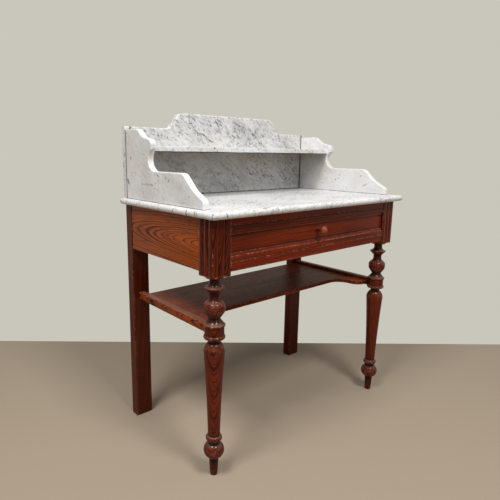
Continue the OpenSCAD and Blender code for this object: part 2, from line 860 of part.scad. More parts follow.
// Two blocks on the rail that the drawer's front closes against.
module drawer_stops() {
    stop_w = 30;
    stop_y = rails_y + drawer_front_t + slide_gap;
    stop_x = block_inner_x / 2;
    color(raw_colour) for (side = [LEFT, RIGHT]) {
        at_side(side) box([stop_x, stop_y, opening_bottom],
            [stop_x + stop_w, rails_y + bottom_rail_d, opening_bottom + groove_up * 0.7]);
    }
}

// Three-cornered blocks glued in the corners between each side apron and the legs.
module glue_blocks() {
    low = opening_bottom + guide_h;
    color(raw_colour) for (side = [LEFT, RIGHT], end = [0, 1]) {
        at_side(side) translate([apron_inner_x, end == 0 ? block_back_y : rear_front_y, low])
            mirror([0, end]) linear_extrude(opening_top - low)
                polygon([[0, 0], [-glue_block, 0], [0, glue_block]]);
    }
}

// ---- Lower shelf ----

// Round tenon at the front end of the right rail, into the leg's drum.
module rail_pin(gap) {
    translate([leg_axis_x, leg_axis_y + drum_r + cut, drum_mid]) rotate([90, 0, 0])
        cylinder(r = rail_pin_r + gap, h = rail_pin_len + gap + cut);
}

// Tenon at the rear end of the right rail.
module rail_tenon(gap) {
    inset = tenon_t / 2;
    box([leg_axis_x - tenon_t / 2 - gap, rear_front_y - cut, rail_bottom + inset - gap],
        [leg_axis_x + tenon_t / 2 + gap, rear_front_y + tenon_len + gap, rail_top - inset + gap]);
}

// Section of the right rail, with its lower outer edge rounded.
module rail_section() {
    translate([rail_inner_x, rail_bottom]) square([rail_w - rail_round_r, rail_h]);
    translate([rail_inner_x, rail_bottom + rail_round_r]) square([rail_w, rail_h - rail_round_r]);
    translate([rail_outer_x - rail_round_r, rail_bottom + rail_round_r]) circle(r = rail_round_r);
}

module shelf_rail(side) {
    start = leg_axis_y + drum_r / 2;
    color(varnish_colour) at_side(side) {
        difference() {
            translate([0, rear_front_y, 0]) rotate([90, 0, 0])
                linear_extrude(rear_front_y - start) rail_section();
            upright(leg_axis_x, leg_axis_y, rail_bottom - cut, rail_top + cut, drum_r + cope_gap);
            upright(leg_axis_x, leg_axis_y, rail_bottom - cut, drum_bottom + cope_gap,
                    drum_bead_r + cope_gap);
            low_shelf_body(joint_gap);
        }
        intersection() {
            rail_pin(0);
            upright(leg_axis_x, leg_axis_y, rail_bottom, rail_top, drum_r + cope_gap + cut);
        }
        rail_tenon(0);
    }
}

// Right half of the shelf's plan. Its front edge is straight in the middle and runs
// forward to each rail in a hollow and a round.
module low_shelf_plan(gap) {
    end_x = rail_inner_x + low_shelf_housing - joint_gap + gap;
    edge_y = block_front_y + low_shelf_setback;
    turn_y = edge_y - low_shelf_hollow_r;
    front = turn_y - low_shelf_round_r;
    hollow_x = rail_inner_x - low_shelf_curve_in;
    round_x = hollow_x + low_shelf_hollow_r + low_shelf_round_r;
    translate([0, edge_y]) square([end_x, rear_front_y - edge_y]);
    difference() {
        translate([hollow_x, turn_y]) square([end_x - hollow_x, low_shelf_hollow_r + cut]);
        translate([hollow_x, turn_y]) circle(r = low_shelf_hollow_r);
    }
    intersection() {
        translate([round_x, turn_y]) circle(r = low_shelf_round_r);
        translate([hollow_x, front]) square([end_x - hollow_x, low_shelf_round_r + cut]);
    }
    translate([round_x, front - gap]) square([end_x - round_x, low_shelf_round_r + gap]);
}

// The lower shelf. A gap of its own makes the housings: none below, where the shelf rests.
module low_shelf_body(gap) {
    translate([0, 0, low_shelf_bottom]) linear_extrude(low_shelf_t + gap) {
        low_shelf_plan(gap);
        mirror([1, 0]) low_shelf_plan(gap);
    }
}

module lower_shelf() {
    color(varnish_colour) low_shelf_body(0);
}

// ---- Drawer ----

// Section of the drawer's front: margins, hollow, fillet and the field behind them.
// The first value runs back from the margin's face, the second up.
module drawer_front_section() {
    field_low = front_margin + front_moulding;
    translate([field_depth, 0]) square([drawer_front_t - field_depth, drawer_front_h]);
    for (flip = [0, 1]) {
        translate([0, flip * drawer_front_h]) mirror([0, flip]) {
            square([drawer_front_t, front_margin]);
            translate([front_cove_r, 0])
                square([drawer_front_t - front_cove_r, field_low]);
            translate([0, front_margin]) difference() {
                square(front_cove_r);
                translate([0, front_cove_r]) circle(r = front_cove_r);
            }
        }
    }
}

// Dovetails at one end of the right side. They point to the front for direction -1.
module tails(root_y, direction, low, high, length, gap) {
    pitch = (high - low) / tail_count;
    root = tail_w / 2 - tail_flare + gap;
    tip = tail_w / 2 + gap;
    for (i = [0 : tail_count - 1]) {
        translate([drawer_inner_x - gap, root_y, low + (i + 0.5) * pitch])
            rotate([90, 0, 90]) linear_extrude(drawer_side_t + 2 * gap)
                polygon([[-direction * cut, -root], [0, -root], [direction * (length + gap), -tip],
                         [direction * (length + gap), tip], [0, root], [-direction * cut, root]]);
    }
}

module front_tails(gap) {
    tails(rails_y + drawer_front_t, -1, drawer_side_z, drawer_side_z + drawer_side_h,
          front_tail_len, gap);
}

module back_tails(gap) {
    tails(drawer_back_y - drawer_back_t, 1, drawer_back_z, drawer_back_top, drawer_back_t, gap);
}

// The bottom board. A gap of its own makes the grooves: none below, where the board rests.
module drawer_bottom_body(gap) {
    reach = drawer_inner_x + groove_in - joint_gap + gap;
    box([-reach, rails_y + drawer_front_t - groove_in + joint_gap - gap, groove_z],
        [reach, drawer_back_y, groove_z + drawer_bottom_t + gap]);
}

module drawer_front() {
    color(varnish_colour) difference() {
        translate([-drawer_w / 2, rails_y, drawer_front_z]) rotate([90, 0, 90])
            linear_extrude(drawer_w) drawer_front_section();
        for (side = [LEFT, RIGHT]) {
            at_side(side) front_tails(joint_gap);
        }
        drawer_bottom_body(joint_gap);
        translate([0, field_y, knob_z]) rotate([-90, 0, 0])
            translate([0, 0, -cut])
                cylinder(r = knob_tenon_r + bore_gap, h = drawer_front_t - field_depth + 2 * cut);
    }
}

module drawer_side(side) {
    color(raw_colour) at_side(side) difference() {
        union() {
            box([drawer_inner_x, rails_y + drawer_front_t, drawer_side_z],
                [drawer_w / 2, drawer_back_y - drawer_back_t, drawer_side_z + drawer_side_h]);
            box([drawer_inner_x, rails_y + drawer_front_t, drawer_side_z],
                [drawer_w / 2, drawer_back_y, drawer_back_z]);
            front_tails(0);
            back_tails(0);
        }
        drawer_bottom_body(joint_gap);
    }
}

module drawer_back() {
    color(raw_colour) difference() {
        box([-drawer_w / 2, drawer_back_y - drawer_back_t, drawer_back_z],
            [drawer_w / 2, drawer_back_y, drawer_back_top]);
        for (side = [LEFT, RIGHT]) {
            at_side(side) back_tails(joint_gap);
        }
        each_nail() nail_shape(bore_gap);
    }
}

module drawer_bottom() {
    color(raw_colour) difference() {
        drawer_bottom_body(0);
        each_nail() nail_shape(bore_gap);
    }
}

// Nails that hold the bottom up to the back.
module each_nail() {
    for (place = [-1, 0, 1]) {
        translate([place * drawer_w / 3, drawer_back_y - drawer_back_t / 2, groove_z]) children();
    }
}

module nail_shape(gap) {
    translate([0, 0, -gap]) cylinder(r = nail_r + gap, h = 3 * drawer_bottom_t + 2 * gap);
    translate([0, 0, -gap]) cylinder(r = 2 * nail_r + gap, h = nail_r + 2 * gap);
}

module drawer_bottom_nails() {
    color(iron_colour) each_nail() nail_shape(0);
}

// The knob's half outline, along its own axis from the field outward.
module knob_outline() {
    foot_h = 4;
    head_z = knob_out - knob_d / 2;
    translate([0, -tenon_in]) square([knob_tenon_r, tenon_in]);
    bead(knob_foot_r, foot_h / 2, foot_h);
    square([knob_neck_r, head_z]);
    flare(knob_neck_r, head_z - knob_d / 2, knob_d * 0.38, head_z - knob_d * 0.3);
    swell(knob_d / 2, head_z, knob_d / 2);
}

module drawer_knob() {
    color(varnish_colour) translate([0, field_y, knob_z]) rotate([90, 0, 0])
        rotate_extrude() knob_outline();
}

// ---- What is drawn ----

marble_top();
marble_back();
marble_side(LEFT);  // marble_side_left
marble_side(RIGHT);  // marble_side_right
marble_shelf();
gallery_pins();
front_leg(LEFT);  // front_leg_left
front_leg(RIGHT);  // front_leg_right
rear_leg(LEFT);  // rear_leg_left
rear_leg(RIGHT);  // rear_leg_right
side_apron(LEFT);  // side_apron_left
side_apron(RIGHT);  // side_apron_right
back_apron();
front_top_rail();
front_bottom_rail();
drawer_runner(LEFT);  // drawer_runner_left
drawer_runner(RIGHT);  // drawer_runner_right
drawer_guide(LEFT);  // drawer_guide_left
drawer_guide(RIGHT);  // drawer_guide_right
drawer_kicker(LEFT);  // drawer_kicker_left
drawer_kicker(RIGHT);  // drawer_kicker_right
guide_screws();
drawer_stops();
glue_blocks();
lower_shelf();
shelf_rail(LEFT);  // shelf_rail_left
shelf_rail(RIGHT);  // shelf_rail_right
drawer_front();
drawer_side(LEFT);  // drawer_side_left
drawer_side(RIGHT);  // drawer_side_right
drawer_back();
drawer_bottom();
drawer_bottom_nails();
drawer_knob();
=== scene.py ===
"""Washstand with a marble top: looks.

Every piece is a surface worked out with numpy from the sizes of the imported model, in metres,
with the origin on the floor under the middle of the marble top.
"""
import math
from functools import partial

import bpy
import numpy as np
from bpy.props import FloatProperty, FloatVectorProperty, IntProperty, PointerProperty
from mathutils import Euler, Matrix, Vector


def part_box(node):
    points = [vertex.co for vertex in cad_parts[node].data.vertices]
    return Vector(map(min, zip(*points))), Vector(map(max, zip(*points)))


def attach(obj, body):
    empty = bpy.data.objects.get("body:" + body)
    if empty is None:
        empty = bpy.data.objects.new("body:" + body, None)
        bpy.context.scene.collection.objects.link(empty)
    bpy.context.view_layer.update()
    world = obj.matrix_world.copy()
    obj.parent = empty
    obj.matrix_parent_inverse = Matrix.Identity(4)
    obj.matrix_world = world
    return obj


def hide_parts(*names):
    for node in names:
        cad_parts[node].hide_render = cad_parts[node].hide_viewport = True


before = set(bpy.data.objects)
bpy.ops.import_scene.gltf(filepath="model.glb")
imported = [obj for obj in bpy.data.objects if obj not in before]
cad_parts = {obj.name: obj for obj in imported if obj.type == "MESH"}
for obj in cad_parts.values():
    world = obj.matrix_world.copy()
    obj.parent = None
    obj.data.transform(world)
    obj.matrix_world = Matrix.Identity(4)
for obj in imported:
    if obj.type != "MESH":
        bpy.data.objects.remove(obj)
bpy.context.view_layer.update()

bl_info = {
    "name": "Washstand with marble top",
    "version": (1, 0, 0),
    "blender": (4, 5, 0),
    "location": "3D View > Sidebar > Washstand",
    "description": "Marble gallery, turned legs, moulded drawer and lower shelf",
    "category": "Add Mesh",
}

MM = 0.001
SIDES = {"left": -1, "right": 1}
# Edges that bend more than this stay sharp.
SHARP_EDGE = math.radians(38)
# Share of a side over which the wear of its arris may fade, at most
MOST_FADE = 0.45


def linear(code):
    """An sRGB hex value as linear red, green and blue."""
    s = np.array([int(code[i:i + 2], 16) for i in (1, 3, 5)]) / 255
    return tuple(np.where(s <= 0.04045, s / 12.92, ((s + 0.055) / 1.055) ** 2.4).tolist())


# ---- Sizes and colours that a user would change ----


def length(name, description, default):
    return FloatProperty(name=name, description=description, default=default, min=0.0,
                         unit="LENGTH")


def shade(name, description, code):
    return FloatVectorProperty(name=name, description=description, default=linear(code),
                               size=3, min=0.0, max=1.0, subtype="COLOR")


class WashstandSizes(bpy.types.PropertyGroup):
    """Sizes that the eye sees and the construction doesn't need."""
    marble_arris: length("Marble arris", "Radius of the slabs' worn edges", 1.6 * MM)
    wood_arris: length("Wood arris", "Radius of the boards' worn edges", 1.3 * MM)
    worn_band: length("Worn band", "Width over which an edge's wear fades out", 5 * MM)
    year_ring: length("Year ring", "Distance between two rings of the pitch pine", 4.2 * MM)
    round_steps: IntProperty(name="Round steps", description="Faces across an arris",
                             default=4, min=1, max=12)


class WashstandColours(bpy.types.PropertyGroup):
    """Colours of the washstand's materials."""
    marble: shade("Marble", "Ground of the marble", "#ececeb")
    marble_cloud: shade("Marble cloud", "Grey clouds in the marble", "#b9babd")
    marble_vein: shade("Marble vein", "Veins and flecks in the marble", "#4b4a4d")
    marble_stain: shade("Marble stain", "Warm stain of age in the marble", "#c9b89f")
    # The tarnish colour also paints the shade under the small shelf.
    marble_tarnish_and_shade: shade("Marble smoke", "Brown tarnish under the small shelf", "#94774f")
    marble_rubbed: shade("Rubbed marble", "Arrises rubbed clean", "#f6f5f2")
    joint_dirt: shade("Joint dirt", "Dirt in the joints of the slabs", "#2a2521")
    pine_early: shade("Pine, early wood", "Wide part of a ring under clear varnish", "#b0541a")
    pine_late: shade("Pine, late wood", "Narrow part of a ring under clear varnish", "#4f1d06")
    red_early: shade("Red varnish, early wood", "Wide part of a ring under red varnish", "#7a2410")
    red_late: shade("Red varnish, late wood", "Narrow part of a ring under red varnish", "#3c0f06")
    # Grime also paints the shade in hollows, quirks and corners.
    grime_and_shade: shade("Grime", "Old polish and dirt in the hollows", "#140604")
    # On the drawer's mouldings this colour also paints a highlight.
    rubbed_and_highlight: shade("Rubbed wood", "Wood where the varnish is rubbed thin", "#c08f78")
    dust: shade("Dust", "Dust on the upper faces", "#9d9184")
    bare_early: shade("Bare pine, early wood", "Wide pale part of a ring of bare wood", "#b08a5c")
    bare_late: shade("Bare pine, late wood", "Narrow dark part of a ring of bare wood", "#7d5530")
    iron: shade("Iron", "Dull iron of pins, screws and nails", "#5a5652")
    rust: shade("Rust", "Rust in spots on the iron", "#5c3a26")
    floor: shade("Floor", "Pale plain floor", "#b0a08c")
    wall: shade("Background", "Pale plain background", "#c9c7bb")


def sizes():
    return bpy.context.scene.washstand_sizes


def colours():
    return bpy.context.scene.washstand_colours


# ---- Shapes ----


def arc(cx, cy, r, start, end, steps=10):
    """Points on a circle about (cx, cy), from the start angle to the end angle in degrees."""
    a = np.radians(np.linspace(start, end, steps + 1))
    return np.stack([cx + r * np.cos(a), cy + r * np.sin(a)], axis=1)


def path(*parts):
    """Joins points and runs of points into one line, leaving out any that repeat."""
    line = np.concatenate([np.atleast_2d(np.asarray(p, float)) for p in parts])
    keep = np.concatenate([[True], np.linalg.norm(np.diff(line, axis=0), axis=1) > 1e-6])
    return line[keep]


def eased(corners, r, band, steps):
    """A closed outline of straight sides whose corners are rounded to r.

    Each corner becomes a quarter of an ellipse-like curve: at share t it is the quadratic
    blend (1-t)^2 a + 2t(1-t) c + t^2 b of the points a and b at distance r from corner c.
    Returns the points and their wear, 1 on the rounds and 0 a band's width away.
    """
    corners = np.asarray(corners, float)
    before = np.roll(corners, 1, axis=0) - corners
    after = np.roll(corners, -1, axis=0) - corners
    run_in = np.linalg.norm(before, axis=1, keepdims=True)
    run_out = np.linalg.norm(after, axis=1, keepdims=True)
    before, after = before / run_in, after / run_out
    fade_in = np.minimum(r + band, run_in * MOST_FADE)
    fade_out = np.minimum(r + band, run_out * MOST_FADE)
    t = np.linspace(0, 1, steps + 1)[None, :, None]
    a = (corners + before * r)[:, None, :]
    b = (corners + after * r)[:, None, :]
    curve = (1 - t) ** 2 * a + 2 * t * (1 - t) * corners[:, None, :] + t ** 2 * b
    start = (corners + before * fade_in)[:, None, :]
    end = (corners + after * fade_out)[:, None, :]
    points = np.concatenate([start, curve, end], axis=1).reshape(-1, 2)
    wear = np.tile(np.concatenate([[0], np.ones(steps + 1), [0]]), len(corners))
    return points, wear


def inward(outline):
    """For each point of a closed counter-clockwise outline, how it moves for an inset of 1.

    The sum of its two sides' inward normals, divided by one plus their dot product.
    """
    side = np.roll(outline, -1, axis=0) - outline
    side = side / np.linalg.norm(side, axis=1, keepdims=True)
    normal = np.stack([-side[:, 1], side[:, 0]], axis=1)
    last = np.roll(normal, 1, axis=0)
    # The divisor is held at this where a corner is very sharp, so that the move stays short.
    least = 0.3
    return (normal + last) / (1 + np.sum(normal * last, axis=1, keepdims=True)).clip(least)


def make_piece(name, replaced, rings, wear, material, dirt=None, body="frame",
               pointed=False):
    """Makes a closed piece from a stack of closed rings, an array of rings x points x 3.

    Each ring is joined to the next with four-sided faces. The two end rings are closed with
    one face each, or the last is drawn together to a point. Faces turn outwards: if the
    volume (a sum over the faces of corner . corner x corner) comes out negative, all faces
    are reversed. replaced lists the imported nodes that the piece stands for.
    """
    rows, columns = rings.shape[:2]
    points = rings.reshape(-1, 3)
    at = np.arange(rows * columns).reshape(rows, columns)
    nxt = np.roll(at, -1, axis=1)
    quads = np.stack([at[:-1], nxt[:-1], nxt[1:], at[1:]], axis=-1).reshape(-1, 4)
    shares = {"wear": wear} if dirt is None else {"wear": wear, "dirt": dirt}
    values = {key: np.asarray(share, float).reshape(-1) for key, share in shares.items()}
    last = at[-1]
    caps = [at[0][::-1].tolist(), last.tolist()]
    if pointed:
        tip = np.full(columns, len(points))
        caps[1:] = np.stack([last, np.roll(last, -1), tip], axis=-1).tolist()
        points = np.concatenate([points, [points[last].mean(axis=0)]])
        values = {key: np.append(v, v[last].mean()) for key, v in values.items()}
    a, b, c, d = (points[quads[:, i]] for i in range(4))
    volume = np.sum(a * np.cross(b, c)) + np.sum(a * np.cross(c, d))
    for cap in caps:
        p = points[cap]
        volume += np.sum(p[0] * np.cross(p[1:-1], p[2:]))
    faces = quads.tolist() + caps
    if volume < 0:
        faces = [face[::-1] for face in faces]
    mesh = bpy.data.meshes.new(name)
    mesh.from_pydata(points.tolist(), [], faces)
    for key, v in values.items():
        mesh.attributes.new(key, "FLOAT", "POINT").data.foreach_set("value", v.astype(np.float32))
    mesh.shade_smooth()
    mesh.set_sharp_from_angle(angle=SHARP_EDGE)
    mesh.materials.append(material)
    piece = bpy.data.objects.new(name, mesh)
    bpy.context.scene.collection.objects.link(piece)
    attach(piece, body)
    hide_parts(*replaced)


def slab(outline, low, high, arris, place, wear=0):
    """Rings and wear of a board: a closed outline carried from low to high.

    Near each end it draws in by arris (1 - cos a) while it runs arris (1 - sin a) from the
    end, with a from 90 to 0 degrees, and one more ring inside the end face lets the wear
    fade. place turns (outline, height) into points in space.
    """
    steps, band = sizes().round_steps, sizes().worn_band
    wear = np.zeros(len(outline)) + wear
    a = np.radians(np.linspace(90, 0, steps + 1))
    inset = np.concatenate([[arris + band], arris * (1 - np.cos(a))])
    up = np.concatenate([[0], arris * (1 - np.sin(a))])
    inset = np.concatenate([inset, inset[::-1]])
    level = np.concatenate([low + up, high - up[::-1]])
    worn = np.concatenate([[0], np.ones(steps + 1)])
    worn = np.concatenate([worn, worn[::-1]])
    flat = outline[None] + inset[:, None, None] * inward(outline)[None]
    height = np.broadcast_to(level[:, None], flat.shape[:2])
    grown = np.maximum(worn[:, None], wear[None])
    grown[0], grown[-1] = 0, 0
    # Two rings near the ends, where the wear along the ends' edges has faded
    middle = steps + 2
    run = min(arris + band, (high - low) * MOST_FADE)
    for ring, level_in in enumerate((low + run, high - run), middle):
        flat = np.insert(flat, ring, outline, axis=0)
        height = np.insert(height, ring, level_in, axis=0)
        grown = np.insert(grown, ring, wear, axis=0)
    return place(flat, height), grown


def box(node):
    """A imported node's lowest and highest corners at rest, as arrays."""
    return [np.array(corner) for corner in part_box(node)]


def rubbed_board(name, node, along, material, ends=None):
    """A straight board with worn arrises, long in one direction. It fills its node's box,
    or runs between two ends where the node has tenons."""
    low, high = box(node)
    if ends:
        low[along], high[along] = ends
    s = sizes()
    axes = [i for i in range(3) if i != along]
    if along == 1:
        axes = axes[::-1]
    (a0, a1), (b0, b1) = ((low[i], high[i]) for i in axes)
    outline, wear = eased([(a0, b0), (a1, b0), (a1, b1), (a0, b1)], s.wood_arris,
                          s.worn_band, s.round_steps)

    def place(flat, height):
        rings = np.empty(flat.shape[:2] + (3,))
        rings[..., axes[0]], rings[..., axes[1]] = flat[..., 0], flat[..., 1]
        rings[..., along] = height
        return rings

    rings, grown = slab(outline, low[along], high[along], s.wood_arris, place, wear)
    make_piece(name, [node], rings, grown, material)


# ---- Materials ----


def add_node(tree, kind, settings=None):
    """Adds a shader node. kind is its type, followed by its operation where it has one.

    Each setting is a property, a ramp's stops or an input. An input takes a value, another
    node's socket, or a node, whose first output in use is then linked.
    """
    kind, _, operation = kind.partition(" ")
    made = tree.nodes.new("ShaderNode" + kind)
    if operation:
        made.operation = operation
    for key, value in (settings or {}).items():
        if key == "stops":
            ramp = made.color_ramp.elements
            for stop, (position, colour) in enumerate(value):
                element = ramp[stop] if stop < 2 else ramp.new(position)
                element.position = position
                element.color = (*colour, 1)
        elif isinstance(value, (bpy.types.Node, bpy.types.NodeSocket)):
            if isinstance(value, bpy.types.Node):
                value = next(output for output in value.outputs if output.enabled)
            tree.links.new(value, made.inputs[key])
        elif isinstance(key, int) or key in made.inputs:
            socket = made.inputs[key]
            full = socket.type == "RGBA" and len(value) == 3
            socket.default_value = (*value, 1) if full else value
        else:
            setattr(made, key, value)
    return made


def blank(name):
    """An empty node material, and add_node for its tree."""
    material = bpy.data.materials.new(name)
    material.use_nodes = True
    material.node_tree.nodes.clear()
    return material, partial(add_node, material.node_tree)


def blend(first, second, share):
    return np.array(first) * (1 - share) + np.array(second) * share


def layered(add, colour, layers):
    """Lays colours over one another. Each layer is a colour and the shares whose product
    says how much of it covers what lies below."""
    for code, share, *factors in layers:
        for factor in factors:
            share = add("Math MULTIPLY", {0: share, 1: factor})
        colour = add("Mix", {"data_type": "RGBA", 0: share, 6: colour, 7: tuple(code)})
    return colour


# Turns that bring the grain, along x, y or z, to the z axis of the rings
TURNS = {"x": (0, -90, 0), "y": (90, 0, 0), "z": (0, 0, 0)}

# Noises of the wood: cycles per metre across and along the grain, detail and roughness.
# Bends of the trunk 120 mm wide, waver of a ring 12 mm, fibres 1.2 mm wide and 90 mm long,
# patches 110 mm wide and 330 mm long, streaks of thick varnish 5 mm wide.
WOOD_NOISES = {
    "bends": ((8, 8, 1), 2.0, 0.5), "waver": ((80, 80, 12), 1.0, 0.5),
    "fibres": ((850, 850, 11), 3.0, 0.6), "patches": ((9, 9, 3), 2.0, 0.5),
    "streaks": ((190, 190, 5), 3.0, 0.6),
}


def pine(name, grain, pith, lean=(0, 0, 0), ring=1.0, red=0.5, tone=1.0, bend=30, figure=1.0,
         late_from=0.78, streaks=0.5, fibre=0.3, rub=0.35, scuff=110, dusty=0.0, dust_from=0.75,
         gloss=0.15, shine=0.08, bare=False):
    """Pitch pine. The rings are shells round the pith, a line along the grain through the
    point pith, turned by lean degrees and bent by some millimetres. Early wood is wide and
    pale, late wood narrow, dark and sharp on its outer side. Under old varnish it is orange
    to red-brown and glossy; bare wood is pale and dull. figure is the rings' contrast, ring
    and tone scale their width and their brightness, bend is in millimetres, scuff is in spots
    per metre, and the other numbers are shares."""
    c = colours()
    material, add = blank(name)
    turn = Euler([math.radians(a + b) for a, b in zip(TURNS[grain], lean)])
    here = add("TexCoord").outputs["Object"]
    wood = add("Mapping", {"Rotation": turn, "Location": -(turn.to_matrix() @ Vector(pith)),
                           "Vector": here})
    noises = {}
    for key, (stretch, detail, rough) in WOOD_NOISES.items():
        place = add("VectorMath MULTIPLY", {0: wood, 1: stretch})
        noises[key] = add("TexNoise", {"Vector": place, "Scale": 1.0, "Detail": detail,
                                       "Roughness": rough})
    off = add("VectorMath SUBTRACT", {0: noises["bends"].outputs["Color"], 1: (0.5, 0.5, 0.5)})
    bent = add("VectorMath MULTIPLY_ADD", {0: off, 1: (bend * MM, bend * MM, 0), 2: wood})
    # The ring's number is the distance from the pith over a ring's width. It wavers by half
    # a ring, and the years' own widths shift it by up to 1.6 rings.
    away = add("VectorMath LENGTH", {0: add("VectorMath MULTIPLY", {0: bent, 1: (1, 1, 0)})})
    count = add("Math DIVIDE", {0: away, 1: sizes().year_ring * ring})
    count = add("Math MULTIPLY_ADD", {0: noises["waver"], 1: 0.45, 2: count})
    years = add("TexNoise", {"noise_dimensions": "1D", "W": count, "Scale": 0.9, "Detail": 1.0})
    count = add("Math MULTIPLY_ADD", {0: years, 1: 1.6, 2: count})
    season = add("Math FRACT", {0: count})
    if bare:
        early, late = np.array(c.bare_early), np.array(c.bare_late)
    else:
        early = blend(c.pine_early, c.red_early, red)
        late = blend(c.pine_late, c.red_late, red)
    early, late = early * tone, blend(early, late, figure) * tone
    half = blend(early, late, 0.5)
    rings = add("ValToRGB", {"Fac": season, "stops": [
        (0.0, half), (1.0, half), (0.05, early), (late_from - 0.24, early), (late_from, late),
        (0.96, late)]})
    # Fibres and patches lighten and darken the rings.
    light = add("MapRange", {0: noises["fibres"], 1: 0.3, 2: 0.7, 3: 1 - fibre,
                             4: 1 + fibre * 0.6})
    patch = add("MapRange", {0: noises["patches"], 1: 0.35, 2: 0.65, 3: 0.8, 4: 1.15})
    light = add("Math MULTIPLY", {0: light, 1: patch})
    colour = add("VectorMath SCALE", {0: rings.outputs["Color"], "Scale": light})
    # Rubbed arrises, where the varnish is thin, are broken up into spots. On the drawer they
    # also paint a highlight.
    broken = add("TexNoise", {"Vector": here, "Scale": scuff, "Detail": 3.0, "Roughness": 0.6})
    spots = add("MapRange", {0: broken, 1: 0.5, 2: 0.6, 4: rub})
    # The second attribute carries dirt and painted shade in hollows, quirks and corners.
    worn, dirt = (add("Attribute", {"attribute_name": key}).outputs["Fac"]
                  for key in ("wear", "dirt"))
    layers = [(c.rubbed_and_highlight, worn, spots), (c.grime_and_shade, dirt)]
    if not bare:
        thick = add("MapRange", {0: noises["streaks"], 1: 0.52, 2: 0.72, 4: streaks})
        layers.insert(0, (c.grime_and_shade, thick))
    if dusty:
        # Dust lies on what faces upwards, in patches.
        up = add("SeparateXYZ", {0: add("NewGeometry").outputs["Normal"]})
        flat = add("MapRange", {0: up.outputs["Z"], 1: dust_from, 2: 1.0, 4: dusty})
        cover = add("TexNoise", {"Vector": here, "Scale": 14.0, "Detail": 4.0})
        layers.append((c.dust, flat, cover))
    # Late wood stands up a little, and so do the fibres.
    high = add("Math MULTIPLY_ADD", {0: noises["fibres"], 1: 0.5, 2: season})
    bump = add("Bump", {"Height": high, "Strength": 0.35 if bare else 0.15,
                        "Distance": 0.4 * MM})
    low, rough = (0.7, 0.85) if bare else (0.32, 0.5)
    surface = add("BsdfPrincipled", {
        "Base Color": layered(add, colour, layers), "Normal": bump, "IOR": 1.5,
        "Roughness": add("MapRange", {0: broken, 1: 0.3, 2: 0.7, 3: low, 4: rough}),
        "Specular IOR Level": 0.35 if bare else shine, "Coat Weight": 0.0 if bare else gloss,
        "Coat Roughness": 0.09})
    add("OutputMaterial", {"Surface": surface})
    return material


# Turns that bring a slab's broad face into the x-z plane of its pattern
FACES = {"back": (0, 0, 0), "side": (0, 0, 90), "top": (-90, 0, 0)}
# Fall of the marble's grain to the right, in degrees
MARBLE_FALL = 35

# Noises of the marble in cycles per metre along, through and across its fall, detail,
# roughness and distortion. Clouds are 140 mm long and 70 mm wide, gathering places 200 mm
# long, mottling 17 mm long and 8 mm wide, short streaks 45 mm long and 4 mm wide, the two
# runs of veins turn within 160 and 60 mm, and stains are 90 mm and pits 4 mm across.
MARBLE_NOISES = {
    "clouds": ((7, 10, 14), 5.0, 0.6, 0.4), "gather": ((5, 7, 9), 2.0, 0.5, 0.0),
    "spots": ((60, 120, 130), 4.0, 0.65, 0.6), "short": ((22, 200, 240), 3.0, 0.6, 0.3),
    "veins": ((6, 12, 17), 5.0, 0.62, 1.0), "fine": ((15.6, 31.2, 44.2), 5.0, 0.62, 1.0),
    "aged": ((11, 11, 11), 4.0, 0.5, 0.0), "pits": ((260, 260, 260), 3.0, 0.5, 0.0),
}
# Height from which the brown tarnish and painted shade grow up to the small shelf, and the
# two distances behind the middle of the top between which they grow to their full strength
TARNISH_AND_SHADE_FROM, TARNISH_AND_SHADE_BACK = 0.82, (0.02, 0.13)


def strokes(add, place, marks):
    """Share of the listed veins. Each mark is a width, a depth and the points it runs
    through, in millimetres on the slab's face. A stretch between two points is where
    max(|along| - half the stretch, 0) and the distance across it are both small. It counts
    through the whole thickness, which is less than 1 m."""
    total = 0.0
    for breadth, depth, *points in marks:
        points = points if len(points) > 1 else points * 2
        for (x0, z0), (x1, z1) in zip(points, points[1:]):
            run = math.hypot(x1 - x0, z1 - z0) * MM
            turn = Euler((0, math.atan2(z1 - z0, x1 - x0), 0))
            middle = Vector(((x0 + x1) / 2 * MM, 0, (z0 + z1) / 2 * MM))
            local = add("Mapping", {"Rotation": turn, "Vector": place,
                                    "Location": -(turn.to_matrix() @ middle)})
            folded = add("VectorMath ABSOLUTE", {0: local})
            past = add("VectorMath SUBTRACT", {0: folded, 1: (run / 2, 1, 0)})
            near = add("VectorMath LENGTH", {0: add("VectorMath MAXIMUM", {0: past})})
            stroke = add("MapRange", {0: near, 1: breadth * MM, 2: breadth * 0.3 * MM, 4: depth})
            total = add("Math MAXIMUM", {0: total, 1: stroke})
    return total


